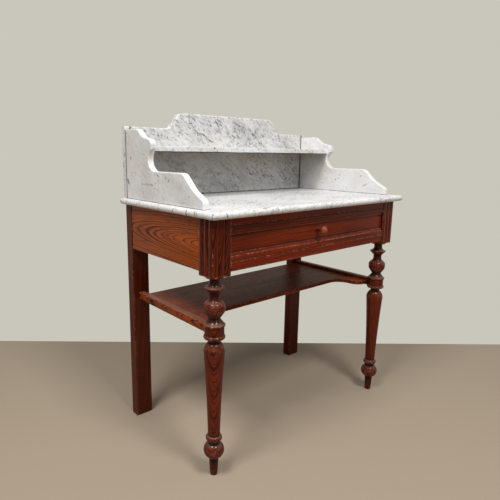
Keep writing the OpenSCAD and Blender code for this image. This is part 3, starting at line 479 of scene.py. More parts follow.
def marble(name, face, shift=(0, 0, 0), clouds=0.5, mottle=0.5, streaks=0.5, veins=0.5,
           flecks=0.5, stain=0.2, white=0.75, tone=1.0, marks=(), joints=()):
    """White marble with grey clouds and mottling, honed and worn by use. Its streaks and
    veins fall to the right on the slab's face. Thin veins follow the middle level of a slow
    noise, so that they run as wandering lines, and flecks are small dark grains. marks are
    listed veins, and joints are lines of dirt: an axis, a place on it and the reach to
    each side. tone scales the ground's brightness, and the other numbers are shares."""
    c = colours()
    material, add = blank(name)
    here = add("TexCoord").outputs["Object"]
    turned = Euler([math.radians(a) for a in FACES[face]])
    flat = add("Mapping", {"Rotation": turned, "Vector": here})
    stone = add("Mapping", {"Location": shift, "Vector": flat,
                            "Rotation": (0, -math.radians(MARBLE_FALL), 0)})
    noises = {}
    for key, (stretch, detail, rough, bent) in MARBLE_NOISES.items():
        place = add("VectorMath MULTIPLY", {0: stone, 1: stretch})
        noises[key] = add("TexNoise", {"Vector": place, "Scale": 1.0, "Detail": detail,
                                       "Roughness": rough, "Distortion": bent})
    # Shares: each is a noise, two of its levels, and the share at either. The pattern gathers
    # in some places and thins out in others.
    share = {key: add("MapRange", dict(enumerate((noises[noise], *ends))))
             for key, (noise, *ends) in {
                 "gathered": ("gather", 0.38, 0.62, 0, 1), "wider": ("gather", 0.3, 0.6, 0.35, 1),
                 "cloudy": ("clouds", 0.42, 0.7, 0, clouds),
                 "mottled": ("spots", 0.5, 0.72, 0, mottle),
                 "streaky": ("short", 0.6, 0.74, 0, streaks), "patchy": ("spots", 0.35, 0.6, 0, 1),
                 "stained": ("aged", 0.45, 0.75, 0, stain), "tarnish_and_shade_spread": ("aged", 0.25, 0.6, 0.6, 1),
                 "clean": ("spots", 0.6, 0.4, 0.1, white), "uneven": ("spots", 0.3, 0.5, 0.5, 1),
                 "darkened": ("aged", 0.3, 0.5, 0.6, 0.95), "honed": ("aged", 0.3, 0.7, 0.32, 0.48),
             }.items()}
    layers = [(c.marble_cloud, share["cloudy"]), (c.marble_vein, share["mottled"], share["wider"]),
              (c.marble_vein, share["streaky"], share["gathered"])]
    for key, thin, strength in (("veins", 0.012, 1.0), ("fine", 0.022, 0.7)):
        level = add("Math SUBTRACT", {0: noises[key], 1: 0.5})
        level = add("Math ABSOLUTE", {0: level})
        vein = add("MapRange", {0: level, 1: thin, 2: 0.0, 4: veins * strength})
        layers.append((c.marble_vein, vein, share["gathered"], share["patchy"]))
    # Warm stain in places, and brown tarnish with painted shade in the corner under the small
    # shelf, darkest just below it and only on the slabs' faces
    folded = add("VectorMath ABSOLUTE", {0: here})
    axes = add("SeparateXYZ", {0: folded}).outputs
    under, rear = SHELF_LOW[2], BACK_LOW[1]
    inside = add("MapRange", {0: axes["Y"], 1: rear + 3 * MM, 2: rear + 1.5 * MM})
    corner = [add("MapRange", {0: axes[axis], 1: start, 2: end, 4: most})
              for axis, start, end, most in (
                  ("Z", TARNISH_AND_SHADE_FROM, under, 0.5), ("Z", under + 0.2 * MM, under, 1.0),
                  ("X", SIDE_LOW[0] + 4 * MM, SIDE_LOW[0], 1.0), ("Y", *TARNISH_AND_SHADE_BACK, 1.0))]
    layers += [(c.marble_stain, share["stained"]),
               (c.marble_tarnish_and_shade, share["tarnish_and_shade_spread"], *corner, inside)]
    # Arrises are rubbed white.
    worn = add("Attribute", {"attribute_name": "wear"}).outputs["Fac"]
    layers.append((c.marble_rubbed, worn, share["clean"]))
    # Flecks with a dark middle 3 mm across, in one cell in eight, each of its own darkness
    shake = add("TexNoise", {"Vector": flat, "Scale": 150.0})
    shaken = add("VectorMath MULTIPLY_ADD", {0: shake.outputs["Color"],
                                             1: [6 * MM] * 3, 2: flat})
    grains = add("TexVoronoi", {"Vector": shaken, "Scale": 85.0})
    pick = add("SeparateColor", {0: grains.outputs["Color"]})
    pick = add("MapRange", {0: pick, 1: 0.84, 2: 0.95, 4: flecks})
    small = add("MapRange", {0: grains.outputs["Distance"], 1: 0.36, 2: 0.12})
    layers.append((c.marble_vein, pick, small))
    if marks:
        # Strokes wander a few millimetres off their straight line.
        wander = add("TexNoise", {"Vector": flat, "Scale": 90.0, "Detail": 3.0})
        wander = add("VectorMath SUBTRACT", {0: wander.outputs["Color"], 1: (0.5, 0.5, 0.5)})
        moved = add("VectorMath MULTIPLY_ADD", {0: wander, 1: (14 * MM, 0, 14 * MM), 2: flat})
        layers.append((c.marble_vein, strokes(add, moved, marks), share["uneven"]))
    # Dirt in the joints, broken up a little
    for axis, middle, breadth in joints:
        off = add("Math SUBTRACT", {0: axes[axis], 1: middle})
        off = add("Math ABSOLUTE", {0: off})
        line = add("MapRange", {0: off, 1: breadth, 2: breadth * 0.5})
        layers.append((c.joint_dirt, line, inside, share["darkened"]))
    surface = add("BsdfPrincipled", {
        "Base Color": layered(add, tuple(np.array(c.marble) * tone), layers), "IOR": 1.5,
        "Normal": add("Bump", {"Height": noises["pits"], "Strength": 0.12, "Distance": 0.4 * MM}),
        "Roughness": share["honed"], "Specular IOR Level": 0.3})
    add("OutputMaterial", {"Surface": surface})
    return material


def dull_iron():
    """Iron pins, wood screws and nails: dark, dull and a little rusty, in spots of 3 mm."""
    material, add = blank("wrought_iron_dull")
    here = add("TexCoord").outputs["Object"]
    spots = add("TexNoise", {"Vector": here, "Scale": 300.0, "Detail": 4.0})
    colour = add("ValToRGB", {"Fac": spots, "stops": [(0.35, colours().iron),
                                                      (0.75, colours().rust)]})
    surface = add("BsdfPrincipled", {"Base Color": colour, "Metallic": 0.8, "Roughness": 0.6})
    add("OutputMaterial", {"Surface": surface})
    return material


def plain(name, code, roughness):
    """An even, dull surface."""
    material, add = blank(name)
    surface = add("BsdfPrincipled", {"Base Color": tuple(code), "Roughness": roughness,
                                     "Specular IOR Level": 0.2})
    add("OutputMaterial", {"Surface": surface})
    return material


# ---- Marble pieces ----

TOP_LOW, TOP_HIGH = box("marble_top")
BACK_LOW, BACK_HIGH = box("marble_back")
SIDE_LOW, SIDE_HIGH = box("marble_side_right")
SHELF_LOW = box("marble_shelf")[0]

# Dark spots on the top's front and left edges: width, depth and points, in millimetres to
# the right and forward
TOP_MARKS = [(3.4, 0.85, (-446, 244)), (3.2, 0.8, (-402, 249)), (3.0, 0.7, (-308, 249)),
             (3.0, 0.7, (-240, 249)), (3.4, 0.8, (-449, 71)), (3.2, 0.8, (-449, 134)),
             (3.0, 0.8, (-449, 172)), (3.0, 0.8, (-449, 181))]


class WASHSTAND_OT_marble_top(bpy.types.Operator):
    """Makes the marble top, whose front and side edges are half round"""
    bl_idname = "washstand.marble_top"
    bl_label = "Marble top"

    def execute(self, context):
        x, front, back = TOP_HIGH[0], TOP_LOW[1], TOP_HIGH[1]
        r = (TOP_HIGH[2] - TOP_LOW[2]) / 2
        # The last ring lies 11.5 mm in, inside the corners' radius.
        corner, band = 12 * MM, 1.5 * MM
        outline = path((x, back), (-x, back), arc(-x + corner, front + corner, corner, 180, 270),
                       arc(x - corner, front + corner, corner, 270, 360))
        step = inward(outline)
        # The back edge is square, so its two ends only draw in sideways.
        step[0], step[1] = (-1, 0), (1, 0)
        a = np.radians(np.linspace(-90, 90, 17))
        inset = np.concatenate([[r + band], r * (1 - np.cos(a)), [r + band]])
        height = np.concatenate([[-r], r * np.sin(a), [r]]) + TOP_LOW[2] + r
        # Wear is full round the middle of the edge and fades towards the two faces.
        wear = np.concatenate([[0], np.clip(np.cos(a) * 1.4, 0, 1), [0]])
        rings = np.empty((len(inset), len(outline), 3))
        rings[..., :2] = outline[None] + inset[:, None, None] * step[None]
        rings[..., 2] = height[:, None]
        make_piece("top_slab", ["marble_top"], rings, wear[:, None] * np.ones(len(outline)),
                   marble("white_marble_honed_top", "top", clouds=0.3, mottle=0.85, streaks=1.0,
                          veins=0.9, flecks=0.6, stain=0.15, white=0.2, tone=1.02,
                          marks=TOP_MARKS))
        return {"FINISHED"}


def back_outline():
    """The back slab's outline, crest, steps and hollows, seen from the front."""
    x, low, high = BACK_HIGH[0], BACK_LOW[2], BACK_HIGH[2]
    crest, round_r, step, cove = 208 * MM, 34 * MM, 14 * MM, 20 * MM
    step_z = high - round_r
    half = path((x, low), (x, step_z - cove),
                arc(crest + round_r + step + cove, step_z, cove, 270, 180, 12),
                (crest + round_r, step_z), arc(crest, step_z, round_r, 0, 90, 16))
    return path(half, half[::-1] * (-1, 1))


# Veins and dark spots of the back slab: width, depth and points, in millimetres, x and z
BACK_MARKS = [
    (3.0, 0.8, (-183, 1046), (-161, 1021), (-146, 1003), (-121, 1000), (-80, 973)),
    (3.5, 0.7, (-183, 1065)), (3.5, 0.7, (-61, 1047), (-47, 1030)), (3.2, 0.8, (7, 1053)),
    (4.0, 0.9, (20, 1001), (30, 993)), (3.0, 0.6, (-46, 984)),
    (2.4, 0.6, (42, 1041), (74, 1031), (58, 1016), (43, 1030)), (3.0, 0.6, (115, 1062)),
    (2.8, 0.7, (142, 1063), (168, 1038)), (2.6, 0.5, (204, 1065), (233, 1046)),
    (2.8, 0.75, (122, 1014), (147, 994), (164, 976), (190, 965)), (3.0, 0.7, (-7, 961)),
    (3.0, 0.7, (23, 966)), (2.2, 0.4, (-135, 937), (-89, 909)), (2.2, 0.4, (-89, 931), (-31, 894)),
    (2.4, 0.5, (-16, 928), (51, 878)), (3.5, 0.85, (98, 877), (110, 866), (127, 849), (112, 856)),
    (2.4, 0.6, (289, 875), (336, 814), (384, 874)), (2.2, 0.5, (290, 846), (343, 801)),
    (2.2, 0.5, (180, 868), (250, 822)), (2.2, 0.45, (210, 866), (262, 826)),
]


class WASHSTAND_OT_back_slab(bpy.types.Operator):
    """Makes the marble back slab with its raised crest"""
    bl_idname = "washstand.back_slab"
    bl_label = "Back slab"

    def execute(self, context):

        def place(flat, height):
            return np.stack([flat[..., 0], height, flat[..., 1]], axis=-1)

        rings, grown = slab(back_outline(), BACK_LOW[1], BACK_HIGH[1], sizes().marble_arris, place)
        make_piece("back_slab", ["marble_back"], rings, grown,
                   marble("white_marble_honed_back", "back", (0.31, 0.2, 0.07), clouds=0.7,
                          mottle=0.85, streaks=0.9, veins=1.0, flecks=0.8, stain=0.1, tone=0.91,
                          marks=BACK_MARKS, joints=(("Z", BACK_LOW[2], 4 * MM),
                                                    ("X", SIDE_LOW[0], 5 * MM))))
        return {"FINISHED"}


def side_outline():
    """A side slab's outline in metres. The first value runs forward from the back slab.

    From the toe the edge climbs a low slope, a hollow and a steep slope to the level arm,
    then turns through the round cut under the nose to the ogee and the top.
    """
    toe, toe_z, toe_r, meet_x = 420, 12, 18, 371
    arm, bend_r, hollow_r, cut_r = 92, 30, 80, 35.5
    low, steep = 28, 43
    sin_low, cos_low = math.sin(math.radians(low)), math.cos(math.radians(low))
    slope_end = (toe - toe_r * (1 - sin_low), toe_z + toe_r * cos_low)
    meet_z = slope_end[1] + (slope_end[0] - meet_x) * sin_low / cos_low
    bend = (meet_x - (arm - meet_z) / math.tan(math.radians(steep))
            - bend_r * math.tan(math.radians(steep / 2)))
    reach = hollow_r * math.tan(math.radians((steep - low) / 2))
    hollow = (meet_x + reach * cos_low + hollow_r * sin_low,
              meet_z - reach * sin_low + hollow_r * cos_low)
    cut_x, nose = 179, 162
    cut_end = math.degrees(math.acos((nose - cut_x) / cut_r))
    # The ogee over the nose: a round, a gentle hollow and the round below the top.
    return path((0, 0), (toe, 0), arc(toe - toe_r, toe_z, toe_r, 0, 90 - low, 10),
                arc(*hollow, hollow_r, 270 - low, 270 - steep, 8),
                arc(bend, arm - bend_r, bend_r, 90 - steep, 90, 10),
                arc(cut_x, arm + cut_r, cut_r, 270, cut_end, 22),
                arc(nose - 20, 166.6, 20, 0, 75, 12), arc(123.9, 222.4, 30, 255, 230, 8),
                arc(70, 191.5, 27.5, 50, 90, 8), (0, 219)) * MM


# Dark spots of the side slabs: width, depth and points, in millimetres, forward and up
SIDE_MARKS = {
    "left": [(5.5, 0.8, (-33, 866)), (5.0, 0.6, (11, 861)), (5.5, 0.8, (26, 853)),
             (5.0, 0.6, (-48, 842)), (5.0, 0.5, (-37, 825)), (6.5, 0.8, (-193, 915)),
             (6.5, 0.85, (-218, 845), (-211, 836)), (5.0, 0.7, (-126, 837)),
             (4.0, 0.35, (-126, 837), (-60, 836))],
    "right": [(4.6, 0.85, (-35, 833)), (4.0, 0.6, (-23, 838)), (4.4, 0.8, (83, 851)),
              (4.8, 0.85, (101, 816)), (4.2, 0.7, (110, 821)), (4.2, 0.7, (-103, 814)),
              (4.2, 0.7, (-92, 815))],
}


# Reach of the dark joint with the back slab, which is wide on the left
REAR_JOINT = {"left": 9 * MM, "right": 3.5 * MM}


class WASHSTAND_OT_side_slabs(bpy.types.Operator):
    """Makes the two stepped and hollowed side slabs"""
    bl_idname = "washstand.side_slabs"
    bl_label = "Side slabs"

    def execute(self, context):

        def place(flat, height):
            return np.stack([height, SIDE_HIGH[1] - flat[..., 0], SIDE_LOW[2] + flat[..., 1]],
                            axis=-1)

        rings, grown = slab(side_outline(), SIDE_LOW[0], SIDE_HIGH[0], sizes().marble_arris, place)
        for side, sign in SIDES.items():
            make_piece("side_slab_" + side, ["marble_side_" + side], rings * (sign, 1, 1),
                       grown, marble("white_marble_honed_" + side, "side", (0.8 * sign, 0.4, 0.3),
                                     clouds=0.4, mottle=0.25, streaks=0.2, veins=0.2,
                                     flecks=0.5, stain=0.35, marks=SIDE_MARKS[side],
                                     joints=(("Z", SIDE_LOW[2], 2.2 * MM),
                                             ("Y", SIDE_HIGH[1], REAR_JOINT[side]))))
        return {"FINISHED"}


class WASHSTAND_OT_small_shelf(bpy.types.Operator):
    """Makes the small marble shelf"""
    bl_idname = "washstand.small_shelf"
    bl_label = "Small shelf"

    def execute(self, context):
        rubbed_board("small_shelf_slab", "marble_shelf", 0,
                     marble("white_marble_honed_shelf", "back", (0.1, 0.9, 0.5), clouds=0.3,
                            mottle=0.8, streaks=0.3, veins=0.3, flecks=1.0, stain=0.7,
                            white=0.35, joints=(("Z", SHELF_LOW[2], 3 * MM),)))
        return {"FINISHED"}


# ---- Turned legs ----

LEG_LOW, LEG_HIGH = box("front_leg_right")
BLOCK = LEG_HIGH[0] - LEG_LOW[0]
LEG_AXIS = (LEG_LOW + LEG_HIGH)[:2] / 2
# Height of the block's lower face, and half its width, in millimetres
BLOCK_FOOT, BLOCK_HALF = 606, 32
# Reeds on a face of the block, the width of one, how far it falls at its sides, and half the
# width of the quirk between two, at the face and at its floor
REEDS, REED_FALL, QUIRK, QUIRK_FLOOR = 3, 2, 0.95, 0.25
PITCH = 2 * BLOCK_HALF / REEDS
# Depth of the quirk at its floor and how much less it is at its sides
QUIRK_DEEP, QUIRK_SLOPE = 3.2, 1.3


def leg_profile():
    """Radius and height of the turning in millimetres, from the floor up to the block."""
    share = np.linspace(0, 1, 25)
    taper = np.stack([17.8 + 12.4 * share - 6.4 * share * (1 - share),
                      129 + 260.2 * share], axis=1)
    return path(
        # Foot, bulb, ring and shaft
        (7.3, 0), arc(7.3, 4, 4, -90, 0, 5), (14.37, 57.63),
        arc(5.5, 81, 25, -69.2, 60, 20), (18, 111.5),
        arc(15, 120, 9, -70.5, 71.9, 12), taper,
        # Shoulder, neck and drum with its two beads
        arc(-2.8, 389.2, 33, 0, 54.2, 10), arc(35.81, 416, 19.31, 180, 148.8, 6),
        (25, 426), arc(25, 432, 6, -90, 60, 10), (28, 462.13),
        arc(27, 466, 4, -75.5, 83.4, 9), (16.5, 484), (16.5, 486), (29.5, 505), (29.5, 510),
        # Upper bulb, collar and the bead under the block
        (27.1, 510), (27.1, 511.2), arc(12.5, 517.85, 18, -21.7, 57, 12),
        arc(30.96, 546.95, 16.46, -121.7, -180, 8), (14.5, 556), (28, 571), (28, 574),
        arc(29.58, 589, 15.08, -96, -180, 9), arc(22.8, 593, 8.3, 180, 105.4, 8),
        (25, 601), (25, BLOCK_FOOT))


def from_quirk(s):
    """Distance along a reeded face from s to the middle of the nearest quirk."""
    return np.min([np.abs(s - PITCH * quirk) for quirk in range(1, REEDS)], axis=0)


def reed_depth(s):
    """How far a reeded face lies behind its crowns, at distance s along it, in millimetres.

    Each reed is an arc, of the radius (half its width squared + fall squared) / (2 fall).
    Between two reeds is a quirk with sloping sides.
    """
    radius = ((PITCH / 2) ** 2 + REED_FALL ** 2) / (2 * REED_FALL)
    across = np.mod(s, PITCH) - PITCH / 2
    depth = radius - np.sqrt(radius ** 2 - across ** 2)
    near = from_quirk(s)
    slope = np.clip((near - QUIRK_FLOOR) / (QUIRK - QUIRK_FLOOR), 0, 1)
    return np.where(near < QUIRK, np.maximum(depth, QUIRK_DEEP - QUIRK_SLOPE * slope), depth)


def block_outline():
    """The block's plan round its axis, in millimetres, its depth below the crowns, and 1 at
    its corners. Two faces are reeded and two plain."""
    quirks = [PITCH * quirk + off for quirk in range(1, REEDS)
              for off in (-QUIRK, -QUIRK_FLOOR, QUIRK_FLOOR, QUIRK)]
    s = np.concatenate([np.linspace(0, PITCH, 13) + PITCH * reed for reed in range(REEDS)])
    s = np.unique(np.concatenate([s[from_quirk(s) > 0.9], quirks]).round(4))
    # The two reeded faces meet where their outer reeds have fallen this far. A run of points
    # stops 0.4 short of a corner.
    meet, short, wide = 1.47, 0.4, 2 * BLOCK_HALF
    front = s[(s > short) & (s < wide - meet - short)]
    side = s[(s > meet + short) & (s < wide - short)]
    straight = np.linspace(BLOCK_HALF, -BLOCK_HALF, 17)[1:-1]
    flat = np.zeros(len(straight))
    corners = [(-31.7, -30.2), (30.5, -30.5), (30.2, 31.7), (-31.75, 31.75)]
    d_front, d_side = reed_depth(front), reed_depth(side)
    points, deep, edge = [], [], []
    for corner, run, depth in (
            (corners[0], (front - BLOCK_HALF, d_front - BLOCK_HALF), d_front),
            (corners[1], (BLOCK_HALF - d_side, side - BLOCK_HALF), d_side),
            (corners[2], (straight, flat + BLOCK_HALF), flat),
            (corners[3], (flat - BLOCK_HALF, straight), flat)):
        points += [corner, np.stack(run, axis=1)]
        deep += [[0], depth]
        edge += [[1], np.zeros(len(depth))]
    return path(*points), np.concatenate(deep), np.concatenate(edge)


# Direction from each leg's axis to its pith, to the right and back, the distance between
# them, and how far the pith leans away upwards, in degrees
GRAIN_FACE = {"left": (0.62, 0.786), "right": (-0.516, 0.857)}
PITH_AWAY, PITH_LEAN = 0.09, 4


class WASHSTAND_OT_turned_legs(bpy.types.Operator):
    """Makes the two turned front legs with their reeded blocks"""
    bl_idname = "washstand.turned_legs"
    bl_label = "Turned legs"

    def execute(self, context):
        points, deep, edge = block_outline()
        angle = np.arctan2(points[:, 1], points[:, 0])
        profile = leg_profile()
        # Turning: wear where the profile stands out from its own average over 30 mm, most
        # from 2.5 mm, and dirt with painted shade where it lies behind it, most from 3.2 mm
        along = np.concatenate([[0], np.cumsum(np.linalg.norm(np.diff(profile, axis=0), axis=1))])
        spacing, reach = 0.5, 30
        even = np.arange(0, along[-1], spacing)
        radius = np.interp(even, along, profile[:, 0])
        window = np.full(2 * reach + 1, 1 / (2 * reach + 1))
        smooth = np.convolve(np.pad(radius, reach, mode="edge"), window, mode="valid")
        proud = np.interp(along, even, radius - smooth)
        turned = np.stack([profile[:, :1] * np.cos(angle), profile[:, :1] * np.sin(angle),
                           profile[:, 1:] + 0 * angle], axis=-1)
        level = np.ones(len(angle))
        wear = np.clip(proud / 2.5, 0, 1)[:, None] * 0.4 * level
        dirt = np.clip(-proud / 3.5, 0, 0.92)[:, None] * level
        # Block: its lower edge is rounded a little, its wear fades out above, and dirt with
        # painted shade lies in its quirks.
        arris, top = 0.8, TOP_LOW[2] / MM
        drawn_in = points + inward(points) * arris
        quirk = np.clip((deep - 1.7) / 1.5, 0, 1)
        for plan, z, worn in ((drawn_in, BLOCK_FOOT, 0.5), (points, BLOCK_FOOT + arris, 1.0),
                              (points, BLOCK_FOOT + 6, 0.0), (points, top - 40, 0.0),
                              (points, top, 0.0)):
            turned = np.append(turned, np.column_stack([plan, z * level])[None], axis=0)
            wear = np.append(wear, np.maximum(edge, worn)[None], axis=0)
            dirt = np.append(dirt, quirk[None] * 0.8, axis=0)
        placed = turned * MM + (*LEG_AXIS, 0)
        for side, sign in SIDES.items():
            # The pith lies behind the leg and leans away from it upwards, so that the rings
            # run out in nested points down the front of the shaft.
            away = np.array(GRAIN_FACE[side])
            wood = pine("pitch_pine_turned_varnished_" + side, "z",
                        (*(LEG_AXIS * (sign, 1) + PITH_AWAY * away), 0.3),
                        lean=(PITH_LEAN * away[1], -PITH_LEAN * away[0], 0), ring=0.62, red=0.85,
                        tone=0.74, bend=8, figure=0.9, streaks=0.55, fibre=0.45, rub=0.6,
                        dusty=0.6, dust_from=0.6, gloss=0.34, shine=0.03)
            make_piece("turned_leg_" + side, ["front_leg_" + side], placed * (sign, 1, 1),
                       wear, wood, dirt)
        return {"FINISHED"}


# ---- Boards of the carcass ----


class WASHSTAND_OT_rear_legs(bpy.types.Operator):
    """Makes the two square rear legs"""
    bl_idname = "washstand.rear_legs"
    bl_label = "Rear legs"

    def execute(self, context):
        for side, sign in SIDES.items():
            # The low tone partly paints the shade that the table casts on the rear legs.
            wood = pine("pitch_pine_planed_varnished_rear_leg_" + side, "z",
                        (sign * 0.36, 0.3, 0.3), lean=(1, -2, 0), red=0.8, tone=0.47,
                        figure=0.5, streaks=0.25, rub=0.15)
            rubbed_board("rear_post_" + side, "rear_leg_" + side, 2, wood)
        return {"FINISHED"}


class WASHSTAND_OT_aprons(bpy.types.Operator):
    """Makes the two side aprons and the back apron"""
    bl_idname = "washstand.aprons"
    bl_label = "Aprons"

    def execute(self, context):
        rear_low = box("rear_leg_right")[0]
        for side, sign in SIDES.items():
            wood = pine("pitch_pine_planed_varnished_apron_" + side, "y",
                        (sign * 0.388, 0.05, 0.690), lean=(0, 4.2 * sign, 0), red=0.0,
                        tone=0.86, bend=10, figure=0.95, late_from=0.85, streaks=0.5)
            rubbed_board("apron_" + side, "side_apron_" + side, 1, wood,
                         (LEG_AXIS[1] + BLOCK / 2, rear_low[1]))
        wood = pine("pitch_pine_sawn_bare_back_apron", "x", (0, 0.29, 0.7), lean=(0, 2, 0),
                    bare=True)
        rubbed_board("apron_back", "back_apron", 0, wood, (-rear_low[0], rear_low[0]))
        return {"FINISHED"}


class WASHSTAND_OT_drawer_rails(bpy.types.Operator):
    """Makes the rails above and below the drawer"""
    bl_idname = "washstand.drawer_rails"
    bl_label = "Drawer rails"

    def execute(self, context):
        inner = LEG_AXIS[0] - BLOCK / 2
        for node, name, pith_z in (("front_top_rail", "rail_above_drawer", 0.80),
                                   ("front_bottom_rail", "rail_below_drawer", 0.56)):
            wood = pine("pitch_pine_planed_varnished_" + name, "x", (0.1, -0.25, pith_z),
                        lean=(0, 1.2, 0), ring=0.8, red=0.95, figure=0.7)
            rubbed_board(name, node, 0, wood, (-inner, inner))
        return {"FINISHED"}


# ---- Drawer ----

FRONT_LOW, FRONT_HIGH = box("drawer_front")
# Depth of the sunk field behind the drawer's face, in millimetres
FIELD = 7


class WASHSTAND_OT_drawer_front(bpy.types.Operator):
    """Makes the moulded drawer front, a profile carried along its length"""
    bl_idname = "washstand.drawer_front"
    bl_label = "Drawer front"

    def execute(self, context):
        # In millimetres: r rounds the arrises, and ease cuts the corner of the field.
        margin, moulding, cove, r, ease = 14, 9, 4, 0.9, 0.6
        _, back, height = (FRONT_HIGH - FRONT_LOW) / MM
        # One half of the face and its wear: the first value runs back, the second up. The
        # wear fades out within a millimetre and a half of each arris. On this lower half the wear
        # also paints a highlight along the moulding's arrises.
        lip, fade = margin + moulding, 1.5
        half, worn = [], []
        for points, share in (
                (arc(r, r, r, 270, 180, 3), 0.4), ((0, r + fade), 0), ((0, margin - r - fade), 0),
                (arc(r, margin - r, r, 180, 90, 3), 1),
                (arc(0, margin + cove, cove, -75, 0, 7), 0), ((cove, lip - r - fade), 0),
                (arc(cove + r, lip - r, r, 180, 90, 3), 0.8), ((FIELD - ease, lip), 0),
                ((FIELD, lip + ease), 0), ((FIELD, lip + 6), 0)):
            points = np.atleast_2d(points)
            half.append(points)
            worn.append(np.full(len(points), share))
        half, worn = np.concatenate(half), np.concatenate(worn)
        upper = half[::-1] * (1, -1) + (0, height)
        outline = np.concatenate([[(back, 0.0)], half, upper, [(back, height)]])[::-1] * MM
        # The upper half carries half the wear and painted highlight of the lower, and its margin
        # is darkened with a painted shadow of the top's overhang. Painted shade fills the corner
        # of the field.
        wear = np.concatenate([[0], worn, worn[::-1] * 0.5, [0]])[::-1]
        darkened = np.where(np.abs(half[:, 1] - lip) < 0.7, 0.7, 0)
        overhang_shadow = np.where(half[:, 1] < margin, 0.45, 0)
        dirt = np.concatenate([[0], darkened, np.maximum(darkened, overhang_shadow)[::-1], [0]])[::-1]
        # Rings near each end: distance from it, inset and wear. The ends lie a hair inside
        # the sides, whose dovetails show there.
        reach = FRONT_HIGH[0] - 0.05 * MM
        near, inset, gain = np.array([(0, 0.4, 0.5), (0.8, 0, 0.5), (8, 0, 0)]).T
        x = np.concatenate([near * MM - reach, (reach - near * MM)[::-1]])
        inset, gain = (np.concatenate([a, a[::-1]])[:, None] for a in (inset * MM, gain))
        flat = outline + inward(outline) * inset[..., None]
        rings = np.stack([x[:, None] + 0 * flat[..., 0], FRONT_LOW[1] + flat[..., 0],
                          FRONT_LOW[2] + flat[..., 1]], axis=-1)
        # Its strong, fine rubbing also paints the highlight along the lower moulding.
        wood = pine("pitch_pine_moulded_varnished_drawer", "x", (0, 0.02, 0.35),
                    lean=(0, 1.0, 1.5), ring=0.8, red=0.85, tone=0.95, figure=0.55, streaks=0.45,
                    fibre=0.45, rub=1.0, scuff=230)
        make_piece("drawer_face", ["drawer_front"], rings, np.maximum(wear, gain), wood,
                   dirt + 0 * gain, body="drawer")
        return {"FINISHED"}


class WASHSTAND_OT_knob(bpy.types.Operator):
    """Makes the drawer's turned knob"""
    bl_idname = "washstand.knob"
    bl_label = "Drawer knob"

    def execute(self, context):
        middle = sum(box("drawer_knob")) / 2
        # Foot, neck, and a bun 28 mm wide and 17 thick
        bun = arc(0, 0, 1, -66.9, 88, 24) * (14, 8.5) + (0, 26.5)
        profile = path((9, 0), arc(7, 2, 2, 0, 90, 5), (5.5, 4), (5.5, 18), bun)
        radius, out = profile.T[..., None]
        turn = np.radians(np.arange(0, 360, 7.5))
        rings = np.stack([middle[0] + radius * MM * np.cos(turn),
                          FRONT_LOW[1] + (FIELD - out) * MM + 0 * turn,
                          middle[2] + radius * MM * np.sin(turn)], axis=-1)
        # The bun is worn towards its end, and the neck is darker.
        wear = np.clip((out - 18) / 12, 0, 0.6) + 0 * turn
        dirt = np.where((out > 3) & (out < 15), 0.6, 0) + 0 * turn
        wood = pine("pitch_pine_turned_varnished_knob", "y", (0.012, -0.2, 0.66), ring=0.7,
                    red=0.6, rub=0.6, dusty=0.5, gloss=0.4)
        make_piece("turned_knob", ["drawer_knob"], rings, wear, wood, dirt, body="drawer",
                   pointed=True)
        return {"FINISHED"}


# ---- Lower shelf ----


class WASHSTAND_OT_lower_shelf(bpy.types.Operator):
    """Makes the lower shelf, whose front edge runs in a hollow and a round at each end"""
    bl_idname = "washstand.lower_shelf"
    bl_label = "Lower shelf"

    def execute(self, context):
        low, high = box("lower_shelf")
        # The right half's outline in millimetres, to the right and back
        half = path((394, 212), (394, -159), arc(371, -120, 39, -90, -180, 14),
                    arc(280, -120, 52, 0, 90, 18))[::-1]
        outline = path(half[::-1], half * (-1, 1))[::-1] * MM

        def place(flat, height):
            return np.concatenate([flat, height[..., None]], axis=-1)

        rings, grown = slab(outline, low[2], high[2], sizes().wood_arris, place)
        wood = pine("pitch_pine_planed_varnished_shelf", "x", (0.1, 0.06, 0.36),
                    lean=(0, 1.2, 1.0), ring=1.2, red=0.5, tone=0.85, figure=0.7, dusty=0.05,
                    gloss=0.0, shine=0.06)
        make_piece("shelf_board", ["lower_shelf"], rings, grown, wood)
        return {"FINISHED"}


